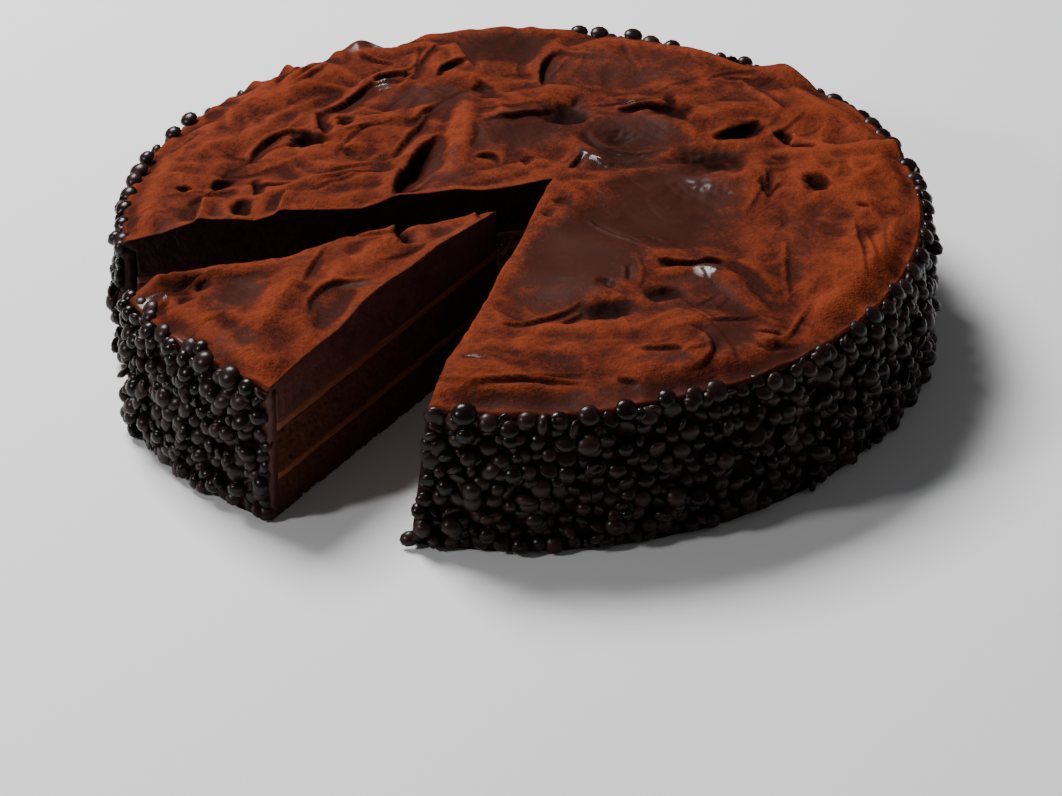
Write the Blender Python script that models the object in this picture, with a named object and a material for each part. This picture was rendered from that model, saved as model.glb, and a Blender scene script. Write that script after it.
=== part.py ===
# A round fudge cake with one slice cut and pulled a little way out, in metres, +Z up.
# Each portion has two sponge layers, a thin filling on each, a thick swirled fudge top and a
# side coat studded with chocolate drops. The origin is the middle of the cake's underside,
# and the slice lies towards -X and -Y.

import math
import random
from collections import namedtuple

import bmesh
import bpy
import numpy as np
from mathutils import Matrix, Vector
from mathutils.geometry import delaunay_2d_cdt

MM = 0.001

# Sizes that drive the whole cake.
RIM_RADIUS = 118 * MM
RIM_HEIGHT = 42.9 * MM
COAT_RADIUS_AT_BASE = 121.6 * MM
COAT_RADIUS_AT_TOP = 119.2 * MM
COAT_THICKNESS = 3.6 * MM
GAP = 0.3 * MM

# Heights at which the layers meet, from the underside up.
LOWER_SPONGE_TOP = 12.9 * MM
LOWER_FILLING_TOP = 15.2 * MM
UPPER_SPONGE_TOP = 28.4 * MM
UPPER_FILLING_TOP = 31.0 * MM
COAT_TOP = 40.2 * MM
COAT_LIP = 1.2 * MM

# The swirled top: its level inside the rim, and how its edge rolls down to the rim.
TOP_LEVEL = 45.7 * MM
LOWEST_TOP = 39.5 * MM
HIGHEST_TOP = 48.6 * MM
EDGE_ROLL = 9 * MM
RIM_RIPPLE = 0.3 * MM
RIM_RIPPLE_TURNS = (0.09, 0.13)

# The top's points: how far apart they lie, and how near to a stroke or an edge they may come.
TOP_SPACING = 4.9 * MM
RING_SPACING = 0.93 * TOP_SPACING
RIM_SPACING = 6.4 * MM
EDGE_MARGIN = 0.55 * TOP_SPACING
STROKE_SPACING = 5.5 * MM
STROKE_HALF_WALL = 0.8 * MM
STROKE_MARGIN = 0.62 * TOP_SPACING
CROSSING_MARGIN = 0.5 * STROKE_SPACING
STROKE_EDGE_MARGIN = 0.3 * TOP_SPACING

# The drops, as bumps side by side over the whole coat, with larger drops fused on among them.
DROP_PITCH = 6.1 * MM
DROP_ROWS = 8
DROP_HEIGHT = 3.7 * MM
DROP_HEIGHTS = (0.75, 1.12)
CUT_DROP_HEIGHT = 0.6
DROP_UNEVEN = 0.6 * MM
LARGE_DROP_RADIUS = 2.8 * MM
LARGE_DROP_SIZES = (0.92, 1.08)
LARGE_DROP_OUTWARD = (0.7, 1.0)
LARGE_DROP_LOWEST = 1.5 * LARGE_DROP_RADIUS
LARGE_DROP_END_GAP = 0.02
LARGE_DROPS = 36
SPREAD_ROUND = 0.618034
SPREAD_UP = 0.754878
SEED = 11

ARC_STEP = math.radians(6.0)

# A portion runs anticlockwise from its first cut to its last. Both cuts start at its tip.
Portion = namedtuple("Portion", "name centre tip first_cut first_lean last_cut layer_dip")

CAKE = Portion(
    name="cake",
    centre=Vector((0, 0)),
    tip=Vector((8.5 * MM, 6 * MM)),
    first_cut=math.radians(-106.0),
    first_lean=math.radians(2.4),
    last_cut=math.radians(193.0),
    layer_dip=0.0,
)
SLICE = Portion(
    name="slice",
    centre=Vector((-4.6 * MM, -3.9 * MM)),
    tip=Vector((-8.5 * MM, -9 * MM)),
    first_cut=math.radians(-156.9),
    first_lean=0.0,
    last_cut=math.radians(-123.0),
    layer_dip=0.016,
)

# One stroke of the spatula follows an arc from (x, y). On its left the fudge is scooped out,
# deepest at the arc and rising again over its reach. On its right the fudge stands up as a lip.
# Places and sizes are in millimetres, headings and turns in degrees, a turn to the left positive.
Stroke = namedtuple("Stroke", "x y heading length turn depth reach lip")
# A pit is an oval hollow: its middle, its two widths, the heading of the long one, its depth.
Pit = namedtuple("Pit", "x y long short heading depth")

CAKE_STROKES = [
    Stroke(-36, 87, 168, 40, 120, 4.5, 16, 1.2),
    Stroke(-61, 37, 115, 36, 170, 5.0, 12, 0.9),
    Stroke(-65, 59, -78, 20, 10, 5.0, 9, 1.0),
    Stroke(-58, 41, 34, 34, 5, 3.0, 14, 1.3),
    Stroke(-64, 97, -124, 32, 8, 2.6, 14, 1.6),
    Stroke(-30, 54, -86, 70, -18, 6.5, 12, 2.4),
    Stroke(-18, 92, -135, 14, 20, 3.0, 7, 0.6),
    Stroke(13, 103, -130, 37, 75, 3.0, 22, 1.0),
    Stroke(14, 66, -151, 39, -5, 3.6, 16, 1.6),
    Stroke(48, 66, -155, 16, 30, 5.5, 11, 1.0),
    Stroke(18.5, 38, -90, 29, 140, 2.8, 9, 1.3),
    Stroke(76, 46, -159, 18, 10, 5.0, 9, 1.2),
    Stroke(12, -8, -49, 37, -5, 1.3, 9, 1.0),
    Stroke(57, -39, 184, 19, 0, 5.5, 7, 1.5),
    Stroke(68, -68, 116, 27, 5, 2.2, 16, 1.0),
    Stroke(16.5, -56, -95, 30, -70, 3.2, 9, 1.6),
    Stroke(44, -80, -20, 30, -190, 2.6, 7, 1.5),
    Stroke(15, -103, -175, 35, 3, 2.5, 6, 0.9),
    Stroke(66, -69, -156, 18, 0, 2.5, 9, 0.8),
    Stroke(70, -70, -115, 36, -15, 2.2, 9, 0.8),
    Stroke(-44, 20, -152, 43, -48, 2.6, 12, 0.9),
    Stroke(-83, 14, -82, 18, 0, 2.8, 7, 1.4),
    Stroke(-98, -34, 88, 34, 0, 2.0, 9, 2.8),
    Stroke(-76, -24, 80, 24, 0, 2.2, 7, 2.2),
]
CAKE_PITS = [
    Pit(-4, 103, 28, 24, 0, 2.2),
    Pit(13, 52, 13, 9, 70, 3.6),
    Pit(57, 25, 19, 13, -60, 3.6),
    Pit(88, 4, 14, 8, -65, 4.6),
    Pit(42, -14, 42, 34, 0, 2.0),
    Pit(23, -66, 17, 12, -20, 3.8),
    Pit(38, -57, 11, 8, 30, 2.8),
    Pit(-91, 13, 15, 7, 62, 3.4),
    Pit(-50, 98, 15, 8, -35, 3.2),
    Pit(-10, 24, 12, 7, -45, 3.0),
    Pit(-87, -6, 11, 9, -60, 2.6),
]
SLICE_STROKES = [
    Stroke(-46, -51, 145, 26, 125, 3.5, 11, 1.4),
    Stroke(-38, -13, -84, 22, 0, 4.5, 8, 2.0),
    Stroke(-58, -29, -112, 20, 25, 2.0, 8, 0.7),
    Stroke(-95, -43, -85, 18, 10, 3.0, 16, 1.1),
    Stroke(-72, -33, 25, 34, 0, 1.0, 8, 2.4),
]
SLICE_PITS = [
    Pit(-106, -61, 10, 8, -40, 2.4),
    Pit(-80, -80, 20, 15, 0, 1.6),
    Pit(-26, -20, 16, 10, 20, 2.6),
]

# How the rim's height wanders: heading from the middle, half width of the stretch, height in mm.
RIM_WAVES = [(97, 14, 1.3), (119, 6, 1.4), (62, 16, -1.3)]

# The low swell of the top: wavelength in millimetres, heading in degrees, phase, height.
SWELL = [(63, 20, 0.4, 0.8), (47, 95, 1.9, 0.7), (36, 150, 3.1, 0.5), (27, 60, 5.0, 0.35)]


def clear_scene():
    for obj in list(bpy.data.objects):
        bpy.data.objects.remove(obj, do_unlink=True)


def new_collection(name):
    collection = bpy.data.collections.new(name)
    bpy.context.scene.collection.children.link(collection)
    return collection


def material(name, colour, roughness, metallic=0.0):
    made = bpy.data.materials.new(name)
    made.use_nodes = True
    shader = made.node_tree.nodes["Principled BSDF"]
    shader.inputs["Base Color"].default_value = (*colour, 1)
    shader.inputs["Roughness"].default_value = roughness
    shader.inputs["Metallic"].default_value = metallic
    return made


def direction(angle):
    return Vector((math.cos(angle), math.sin(angle)))


def uneven(angle):
    """How far the cake's side stands out from a true circle, as a factor."""
    return 1 + 0.006 * math.sin(2 * angle + 0.7) + 0.005 * math.sin(3 * angle - 1.1)


def coat_radius(z):
    return COAT_RADIUS_AT_BASE + (COAT_RADIUS_AT_TOP - COAT_RADIUS_AT_BASE) * z / RIM_HEIGHT


def food_radius(z):
    """The radius of the sponge and fudge inside the coat."""
    return coat_radius(z) - COAT_THICKNESS


def cut_angles(portion, z):
    """The headings of the two cuts at this height. The first cut may lean out at the base."""
    lean = portion.first_lean * (1 - z / RIM_HEIGHT)
    return portion.first_cut - lean, portion.last_cut


def cut_length(portion, angle, radius):
    """How far a cut runs from the tip to the circle of this radius round the centre."""
    offset = portion.tip - portion.centre
    along = offset.dot(direction(angle))
    return -along + math.sqrt(along * along - offset.length_squared + radius * radius)


def side_point(portion, part_way, radius, z):
    """The point part_way round the portion's side, from 0 at its first cut to 1 at its last."""
    ends = []
    for angle in cut_angles(portion, z):
        end = portion.tip + direction(angle) * cut_length(portion, angle, radius) - portion.centre
        ends.append(math.atan2(end.y, end.x))
    while ends[1] < ends[0]:
        ends[1] += 2 * math.pi
    angle = ends[0] + (ends[1] - ends[0]) * part_way
    return portion.centre + direction(angle) * radius * uneven(angle)


def side_steps(portion, step):
    """How many steps of about this angle the portion's side takes."""
    return round((portion.last_cut - portion.first_cut) / step)


def side_line(portion, count, radius, z):
    return [side_point(portion, i / count, radius, z) for i in range(count + 1)]


def loft(bm, low, high):
    """Side faces between two closed rings of the same number of points."""
    for i in range(len(low)):
        j = (i + 1) % len(low)
        bm.faces.new((low[i], low[j], high[j], high[i]))


def stitch(bm, fine, coarse):
    """Triangles between two lines of points that run side by side, with any number of points."""
    i = j = 0
    while i < len(fine) - 1 or j < len(coarse) - 1:
        next_fine = (i + 1) / (len(fine) - 1)
        next_coarse = (j + 1) / (len(coarse) - 1)
        if next_fine <= next_coarse:
            bm.faces.new((fine[i], fine[i + 1], coarse[j]))
            i += 1
        else:
            bm.faces.new((fine[i], coarse[j + 1], coarse[j]))
            j += 1


def finished(bm, name, collection, mat):
    bmesh.ops.recalc_face_normals(bm, faces=bm.faces)
    mesh = bpy.data.meshes.new(name)
    bm.to_mesh(mesh)
    bm.free()
    obj = bpy.data.objects.new(name, mesh)
    obj.data.materials.append(mat)
    collection.objects.link(obj)
    return obj


def layer_plane(portion, level, point):
    """The height of a layer's flat face: level, less a dip that grows with the way from the tip."""
    if portion.layer_dip == 0 or level == 0:
        return level
    middle = direction((portion.first_cut + portion.last_cut) / 2)
    return level - portion.layer_dip * (point - portion.tip).dot(middle)


def make_layer(name, portion, bottom, top, collection, mat):
    """A flat layer: the portion's outline at its bottom lofted to the outline at its top."""
    bm = bmesh.new()
    rings = []
    count = side_steps(portion, ARC_STEP)
    for level in (bottom, top):
        outline = [portion.tip] + side_line(portion, count, food_radius(level), level)
        rings.append([bm.verts.new((p.x, p.y, layer_plane(portion, level, p))) for p in outline])
    low, high = rings
    bm.faces.new(low)
    bm.faces.new(high)
    loft(bm, low, high)
    return finished(bm, name, collection, mat)


def smooth_step(value):
    value = np.clip(value, 0, 1)
    return value * value * (3 - 2 * value)


def stroke_place(stroke, along, left):
    """The point along a stroke's arc and to its left, in millimetres."""
    heading = math.radians(stroke.heading)
    turn = math.radians(stroke.turn) * along / stroke.length
    half_turn = turn / 2
    chord = along * (math.sin(half_turn) / half_turn if abs(half_turn) > 0.001 else 1)
    x = stroke.x + chord * math.cos(heading + half_turn) - left * math.sin(heading + turn)
    y = stroke.y + chord * math.sin(heading + half_turn) + left * math.cos(heading + turn)
    return x, y


def stroke_height(stroke, x, y):
    """The height that one stroke adds at the points x, y, all in millimetres."""
    heading = math.radians(stroke.heading)
    turn = math.radians(stroke.turn)
    if abs(turn) < 0.01:
        dx = x - stroke.x
        dy = y - stroke.y
        along = dx * math.cos(heading) + dy * math.sin(heading)
        left = -dx * math.sin(heading) + dy * math.cos(heading)
    else:
        bend = stroke.length / turn
        middle_x = stroke.x - bend * math.sin(heading)
        middle_y = stroke.y + bend * math.cos(heading)
        dx = (x - middle_x) * np.sign(bend)
        dy = (y - middle_y) * np.sign(bend)
        middle_angle = heading - math.pi / 2 + turn / 2
        swing = np.arctan2(dy, dx) - middle_angle
        swing = (swing + math.pi) % (2 * math.pi) - math.pi
        along = bend * (swing + turn / 2)
        left = bend - np.hypot(dx, dy) * np.sign(bend)
    part_way = np.clip(along / stroke.length, 0, 1)
    strength = np.sin(math.pi * part_way) ** 0.6
    scooped = -stroke.depth * smooth_step(1 - left / stroke.reach)
    lip_width = 0.6 * stroke.reach
    raised = stroke.lip * smooth_step(1 + left / lip_width)
    return strength * np.where(left > 0, scooped, raised)


def pit_height(pit, x, y):
    heading = math.radians(pit.heading)
    along = (x - pit.x) * math.cos(heading) + (y - pit.y) * math.sin(heading)
    across = -(x - pit.x) * math.sin(heading) + (y - pit.y) * math.cos(heading)
    return -pit.depth * smooth_step(1.25 - np.hypot(2 * along / pit.long, 2 * across / pit.short))


def top_height(x, y, to_rim, strokes, pits):
    """The height of the swirled top, in metres, at points x, y that lie to_rim inside the rim."""
    x_mm = np.asarray(x) / MM
    y_mm = np.asarray(y) / MM
    relief = np.zeros_like(x_mm)
    for length, heading, phase, height in SWELL:
        way = x_mm * math.cos(math.radians(heading)) + y_mm * math.sin(math.radians(heading))
        relief += height * np.sin(2 * math.pi * way / length + phase)
    for stroke in strokes:
        relief += stroke_height(stroke, x_mm, y_mm)
    for pit in pits:
        relief += pit_height(pit, x_mm, y_mm)
    inside = smooth_step(np.asarray(to_rim) / EDGE_ROLL)
    heading = np.degrees(np.arctan2(y_mm, x_mm))
    x_turns, y_turns = RIM_RIPPLE_TURNS
    rim = RIM_HEIGHT + RIM_RIPPLE * np.sin(x_turns * x_mm + y_turns * y_mm)
    for middle, half_width, rise in RIM_WAVES:
        rim += rise * MM * np.exp(-(((heading - middle) / half_width) ** 2))
    height = rim + (TOP_LEVEL - rim + relief * MM) * inside
    return np.clip(height, LOWEST_TOP, HIGHEST_TOP)


def to_segment(point, start, end):
    along = end - start
    part_way = (point - start).dot(along) / along.length_squared
    return (point - start - along * min(max(part_way, 0), 1)).length


def inside_rim(portion, point):
    """How far a point lies inside the portion's uneven rim."""
    away = point - portion.centre
    return RIM_RADIUS - away.length / uneven(math.atan2(away.y, away.x))


def inside(portion, point, cut_ends, margin):
    """Whether a point lies on the portion, at least margin inside its rim and its cuts."""
    if inside_rim(portion, point) < margin:
        return False
    first, last = cut_angles(portion, RIM_HEIGHT)
    from_tip = point - portion.tip
    heading = math.atan2(from_tip.y, from_tip.x)
    while heading < first:
        heading += 2 * math.pi
    if heading > last:
        return False
    return min(to_segment(point, portion.tip, end) for end in cut_ends) > margin


def stroke_points(portion, strokes, cut_ends):
    """Points along both edges of each stroke's wall, so that its lip and its hollow are crisp."""
    found = []
    for stroke in strokes:
        steps = max(2, round(stroke.length * MM / STROKE_SPACING))
        for step in range(1, steps):
            along = stroke.length * step / steps
            pair = []
            for side in (-1, 1):
                x, y = stroke_place(stroke, along, side * STROKE_HALF_WALL / MM)
                pair.append(Vector((x * MM, y * MM)))
            clear = all((p - q).length > CROSSING_MARGIN for p in pair for q in found)
            if clear and all(inside(portion, p, cut_ends, STROKE_EDGE_MARGIN) for p in pair):
                found += pair
    return found


def inside_points(portion, strokes, cut_ends):
    """Points that fill the outline: along the strokes, then in staggered rings between them."""
    by_strokes = stroke_points(portion, strokes, cut_ends)
    found = []
    rings = int(RIM_RADIUS / TOP_SPACING)
    for ring in range(rings):
        radius = RIM_RADIUS - (ring + 0.75) * RING_SPACING
        count = max(1, round(2 * math.pi * radius / TOP_SPACING))
        for i in range(count):
            angle = 2 * math.pi * (i + 0.5 * (ring % 2)) / count
            point = portion.centre + direction(angle) * radius * uneven(angle)
            clear = all((point - q).length > STROKE_MARGIN for q in by_strokes)
            if clear and inside(portion, point, cut_ends, EDGE_MARGIN):
                found.append(point)
    return by_strokes + found


def cut_line(portion, end, count):
    """Points along a cut from the tip to its end, without either."""
    return [portion.tip.lerp(end, i / count) for i in range(1, count)]


def make_fudge_top(name, portion, strokes, pits, collection, mat):
    """The thick fudge: a flat underside, flat cut faces and a swirled top whose rim laps the coat."""
    steps = side_steps(portion, RIM_SPACING / RIM_RADIUS)
    rim = side_line(portion, steps, RIM_RADIUS, RIM_HEIGHT)
    cut_steps = round(RIM_RADIUS / TOP_SPACING)
    first_cut = cut_line(portion, rim[0], cut_steps)
    last_cut = cut_line(portion, rim[-1], cut_steps)
    outline = [portion.tip] + first_cut + rim + last_cut[::-1]
    points = outline + inside_points(portion, strokes, (rim[0], rim[-1]))
    edges = [(i, (i + 1) % len(outline)) for i in range(len(outline))]
    flat, _, faces, *_ = delaunay_2d_cdt([p / MM for p in points], edges, [], 1, 1e-4)
    flat = [p * MM for p in flat]

    bm = bmesh.new()
    to_rim = [inside_rim(portion, p) for p in flat]
    heights = top_height([p.x for p in flat], [p.y for p in flat], to_rim, strokes, pits)
    top = [bm.verts.new((p.x, p.y, z)) for p, z in zip(flat, heights)]
    for face in faces:
        bm.faces.new([top[i] for i in face])

    tip_low = bm.verts.new((*portion.tip, layer_plane(portion, UPPER_FILLING_TOP, portion.tip)))
    rings = []
    for level in (UPPER_FILLING_TOP, COAT_TOP + GAP):
        line = side_line(portion, steps, food_radius(level), level)
        heights = [layer_plane(portion, level, p) if level == UPPER_FILLING_TOP else level for p in line]
        rings.append([bm.verts.new((p.x, p.y, z)) for p, z in zip(line, heights)])
    low, ledge = rings
    rim_start = len(first_cut) + 1
    rim_verts = top[rim_start:rim_start + len(rim)]
    for lower, upper in ((low, ledge), (ledge, rim_verts)):
        for i in range(steps):
            bm.faces.new((lower[i], lower[i + 1], upper[i + 1], upper[i]))
    bm.faces.new([tip_low] + low)
    first_verts = top[1:rim_start]
    last_verts = top[rim_start + len(rim):len(outline)][::-1]
    bm.faces.new([tip_low, low[0], ledge[0], rim_verts[0]] + first_verts[::-1] + [top[0]])
    bm.faces.new([tip_low, low[-1], ledge[-1], rim_verts[-1]] + last_verts[::-1] + [top[0]])
    return finished(bm, name, collection, mat)


def make_large_drops(portion, count, draw):
    """Larger drops spread evenly over the coat, sunk a little way into it, in a collection."""
    drops = new_collection(portion.name + "_large_drops")
    for i in range(count):
        part_way = LARGE_DROP_END_GAP + (1 - 2 * LARGE_DROP_END_GAP) * (i * SPREAD_ROUND % 1)
        z = LARGE_DROP_LOWEST + (COAT_TOP - LARGE_DROP_LOWEST) * (i * SPREAD_UP % 1)
        standing_out = LARGE_DROP_RADIUS * draw.uniform(*LARGE_DROP_OUTWARD)
        place = side_point(portion, part_way, coat_radius(z) + standing_out, z)
        radius = LARGE_DROP_RADIUS * draw.uniform(*LARGE_DROP_SIZES)
        turned = Matrix.Rotation(draw.uniform(0, math.pi), 4, "X")
        placed = Matrix.Translation((place.x, place.y, z)) @ turned
        bm = bmesh.new()
        bmesh.ops.create_icosphere(bm, subdivisions=1, radius=radius, matrix=placed)
        mesh = bpy.data.meshes.new(f"{portion.name}_drop_{i}")
        bm.to_mesh(mesh)
        bm.free()
        drops.objects.link(bpy.data.objects.new(mesh.name, mesh))
    return drops


def keep_outer_shell(mesh):
    """Fills the small hollows that fusing seals, and drops loose scraps: only the largest shell stays."""
    bm = bmesh.new()
    bm.from_mesh(mesh)
    shells = []
    left = set(bm.faces)
    while left:
        shell = {left.pop()}
        edge_of_shell = list(shell)
        while edge_of_shell:
            face = edge_of_shell.pop()
            found = {other for edge in face.edges for other in edge.link_faces} & left
            left -= found
            shell |= found
            edge_of_shell += found
        shells.append(shell)
    largest = max(shells, key=len)
    bmesh.ops.delete(bm, geom=[f for f in bm.faces if f not in largest], context="FACES")
    bm.to_mesh(mesh)
    bm.free()


def fuse(obj, collection):
    """Joins everything in the collection to the object, then removes the collection."""
    modifier = obj.modifiers.new("fuse", "BOOLEAN")
    modifier.operation = "UNION"
    modifier.operand_type = "COLLECTION"
    modifier.collection = collection
    modifier.solver = "EXACT"
    graph = bpy.context.evaluated_depsgraph_get()
    joined = bpy.data.meshes.new_from_object(obj.evaluated_get(graph))
    obj.modifiers.clear()
    keep_outer_shell(joined)
    obj.data = joined
    for drop in list(collection.objects):
        bpy.data.objects.remove(drop, do_unlink=True)
    bpy.data.collections.remove(collection)


def lattice_point(portion, line, column, columns, draw):
    """One corner of the honeycomb. Lines run round the coat, from 0 at its base to the top."""
    top = COAT_TOP + COAT_LIP
    row_height = top / DROP_ROWS
    z = line * row_height
    part_way = column / columns
    if 0 < line < DROP_ROWS:
        points_up = (column + line) % 2 == 0
        z += (1 if points_up else -1) * row_height / 6
        z += draw.uniform(-DROP_UNEVEN, DROP_UNEVEN)
        if 0 < column < columns:
            part_way += draw.uniform(-DROP_UNEVEN, DROP_UNEVEN) / side_length(portion)
    place = side_point(portion, part_way, coat_radius(z), z)
    return Vector((place.x, place.y, z))


def side_length(portion):
    return COAT_RADIUS_AT_BASE * (portion.last_cut - portion.first_cut)


def make_bump(bm, portion, corners, part_way, draw):
    """One drop: the honeycomb's cell raised to a point near its middle."""
    cell = bm.faces.new(corners)
    z = sum(corner.co.z for corner in corners) / len(corners) + draw.uniform(-DROP_UNEVEN, DROP_UNEVEN)
    part_way += draw.uniform(-DROP_UNEVEN, DROP_UNEVEN) / side_length(portion)
    whole = len(corners) > 4
    height = DROP_HEIGHT * draw.uniform(*DROP_HEIGHTS) * (1 if whole else CUT_DROP_HEIGHT)
    place = side_point(portion, part_way, coat_radius(z) + height, z)
    peak = bmesh.ops.poke(bm, faces=[cell])["verts"][0]
    peak.co = (place.x, place.y, z)


def make_bumpy_face(bm, portion, draw):
    """The outer face of the coat. It gives back the lines of the honeycomb's corners."""
    columns = 2 * round(side_length(portion) / DROP_PITCH)
    lines = []
    for line in range(DROP_ROWS + 1):
        used = range(columns + 1)
        if line == 0:
            used = range(0, columns + 1, 2)
        elif line == DROP_ROWS:
            first = (DROP_ROWS - 1) % 2
            used = sorted({0, columns, *range(first, columns + 1, 2)})
        lines.append({c: bm.verts.new(lattice_point(portion, line, c, columns, draw)) for c in used})
    for row in range(DROP_ROWS):
        for start in range(-(row % 2), columns, 2):
            across = [c for c in range(start, start + 3) if 0 <= c <= columns]
            lower = [lines[row][c] for c in across if c in lines[row]]
            upper = [lines[row + 1][c] for c in across if c in lines[row + 1]]
            middle = (across[0] + across[-1]) / 2 / columns
            make_bump(bm, portion, lower + upper[::-1], middle, draw)
    return lines


def make_side_coat(name, portion, large_drops, collection, mat):
    """The icing on the side, its outer face a honeycomb of bumps, one for each chocolate drop."""
    draw = random.Random(SEED)
    bm = bmesh.new()
    lines = make_bumpy_face(bm, portion, draw)
    inner_steps = side_steps(portion, ARC_STEP)
    rings = []
    for z in (0, COAT_TOP):
        line = side_line(portion, inner_steps, food_radius(z) + GAP, z)
        rings.append([bm.verts.new((p.x, p.y, z)) for p in line])
    low, high = rings
    for i in range(inner_steps):
        bm.faces.new((low[i], high[i], high[i + 1], low[i + 1]))
    outer_edges = [[line[c] for c in sorted(line)] for line in lines]
    stitch(bm, outer_edges[0], low)
    stitch(bm, outer_edges[-1], high)
    for end in (0, -1):
        bm.faces.new([low[end], high[end]] + [edge[end] for edge in outer_edges[::-1]])
    coat = finished(bm, name, collection, mat)
    fuse(coat, make_large_drops(portion, large_drops, draw))


def main():
    clear_scene()
    cake = new_collection("fudge_cake")
    sponge = material("sponge", (0.045, 0.018, 0.010), 0.85)
    filling = material("filling", (0.16, 0.07, 0.03), 0.6)
    fudge = material("fudge", (0.16, 0.055, 0.025), 0.55)
    drops = material("drops", (0.012, 0.008, 0.007), 0.35)
    layers = [
        ("lower_sponge", 0, LOWER_SPONGE_TOP - GAP, sponge),
        ("lower_filling", LOWER_SPONGE_TOP, LOWER_FILLING_TOP - GAP, filling),
        ("upper_sponge", LOWER_FILLING_TOP, UPPER_SPONGE_TOP - GAP, sponge),
        ("upper_filling", UPPER_SPONGE_TOP, UPPER_FILLING_TOP - GAP, filling),
    ]
    tops = {"cake": (CAKE_STROKES, CAKE_PITS), "slice": (SLICE_STROKES, SLICE_PITS)}
    for portion in (CAKE, SLICE):
        for layer, bottom, top, mat in layers:
            make_layer(f"{portion.name}_{layer}", portion, bottom, top, cake, mat)
        strokes, pits = tops[portion.name]
        make_fudge_top(f"{portion.name}_fudge_top", portion, strokes, pits, cake, fudge)
        share = (portion.last_cut - portion.first_cut) / (CAKE.last_cut - CAKE.first_cut)
        large = round(LARGE_DROPS * share)
        make_side_coat(f"{portion.name}_side_coat", portion, large, cake, drops)


main()
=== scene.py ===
import math
import random

import bmesh
import bpy
import numpy as np
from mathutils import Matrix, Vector, noise


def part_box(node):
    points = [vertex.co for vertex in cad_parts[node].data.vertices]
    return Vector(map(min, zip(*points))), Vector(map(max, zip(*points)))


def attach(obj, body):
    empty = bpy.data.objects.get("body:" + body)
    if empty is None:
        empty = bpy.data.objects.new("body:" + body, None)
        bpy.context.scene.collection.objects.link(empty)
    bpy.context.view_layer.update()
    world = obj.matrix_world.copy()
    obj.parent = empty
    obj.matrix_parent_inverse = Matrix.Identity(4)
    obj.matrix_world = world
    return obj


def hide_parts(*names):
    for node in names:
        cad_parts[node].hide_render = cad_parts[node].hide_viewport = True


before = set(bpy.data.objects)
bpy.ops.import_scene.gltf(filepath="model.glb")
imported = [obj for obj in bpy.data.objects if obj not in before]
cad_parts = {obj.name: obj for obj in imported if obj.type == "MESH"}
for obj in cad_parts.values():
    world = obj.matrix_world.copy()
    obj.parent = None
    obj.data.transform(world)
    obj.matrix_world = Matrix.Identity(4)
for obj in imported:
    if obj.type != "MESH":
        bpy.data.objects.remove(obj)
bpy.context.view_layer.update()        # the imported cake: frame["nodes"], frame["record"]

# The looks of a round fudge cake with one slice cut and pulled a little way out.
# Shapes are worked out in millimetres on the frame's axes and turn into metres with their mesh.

mm = 0.001
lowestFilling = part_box("cake_lower_filling")[0].z / mm

cake = {
    "rimRadius": 118,
    "rimHeight": 42.9,
    "coatRadiusAtBase": 121.6,
    "coatRadiusAtTop": 119.2,
    "coatThickness": 3.6,
    "topLevel": 45.7,
    "lowestTop": 39.5,
    "highestTop": 48.5,
    "edgeRoll": 9,
}

# a portion runs anticlockwise from its first cut to its last, and both cuts start at its tip
portions = {
    "cake": {
        "centre": (0, 0), "tip": (8.5, 6), "layerDip": 0,
        "firstCut": -106, "firstLean": 2.4, "lastCut": 193,
    },
    "slice": {
        "centre": (-4.6, -3.9), "tip": (-8.5, -9), "layerDip": 0.016,
        "firstCut": -156.9, "firstLean": 0, "lastCut": -123,
    },
}


def uneven(heading):
    # how far the cake's side stands out from a true circle, as a factor
    return 1 + 0.006 * np.sin(2 * heading + 0.7) + 0.005 * np.sin(3 * heading - 1.1)


def coatRadius(z):
    taper = cake["coatRadiusAtTop"] - cake["coatRadiusAtBase"]
    return cake["coatRadiusAtBase"] + taper * np.asarray(z) / cake["rimHeight"]


def foodRadius(z):
    return coatRadius(z) - cake["coatThickness"]


def cutHeadings(portion, z):
    lean = math.radians(portion["firstLean"]) * (1 - np.asarray(z) / cake["rimHeight"])
    return math.radians(portion["firstCut"]) - lean, math.radians(portion["lastCut"])


def whereCutEnds(portion, heading, radius):
    # heading from the centre of the point where a cut meets the circle of this radius
    offsetX, offsetY = np.subtract(portion["tip"], portion["centre"])
    along = offsetX * np.cos(heading) + offsetY * np.sin(heading)
    length = np.sqrt(along**2 - offsetX**2 - offsetY**2 + radius**2) - along
    return np.arctan2(offsetY + length * np.sin(heading), offsetX + length * np.cos(heading))


def sidePlace(portion, partWay, radius, z):
    # a point on the side, partWay from the first cut (0) to the last (1)
    first, last = (whereCutEnds(portion, h, radius) for h in cutHeadings(portion, z))
    heading = first + (last - first) % (2 * math.pi) * partWay
    reach = radius * uneven(heading)
    x, y = portion["centre"]
    return x + reach * np.cos(heading), y + reach * np.sin(heading)


def wedgePlace(portion, partWay, share, radius, z):
    # a point inside the portion, a share of the way from its tip to its side
    sideX, sideY = sidePlace(portion, partWay, radius, z)
    tipX, tipY = portion["tip"]
    return tipX + share * (sideX - tipX), tipY + share * (sideY - tipY)


def topPlace(portion, partWay, share):
    # the same on the top, where the shares end at the rim
    return wedgePlace(portion, partWay, share, cake["rimRadius"], cake["rimHeight"])


def insideRim(portion, x, y):
    awayX, awayY = x - portion["centre"][0], y - portion["centre"][1]
    return cake["rimRadius"] - np.hypot(awayX, awayY) / uneven(np.arctan2(awayY, awayX))


def besideCut(portion, heading, x, y):
    # how far along a cut from the tip, and how far to its left
    dx, dy = x - portion["tip"][0], y - portion["tip"][1]
    return dx * np.cos(heading) + dy * np.sin(heading), dy * np.cos(heading) - dx * np.sin(heading)


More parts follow.
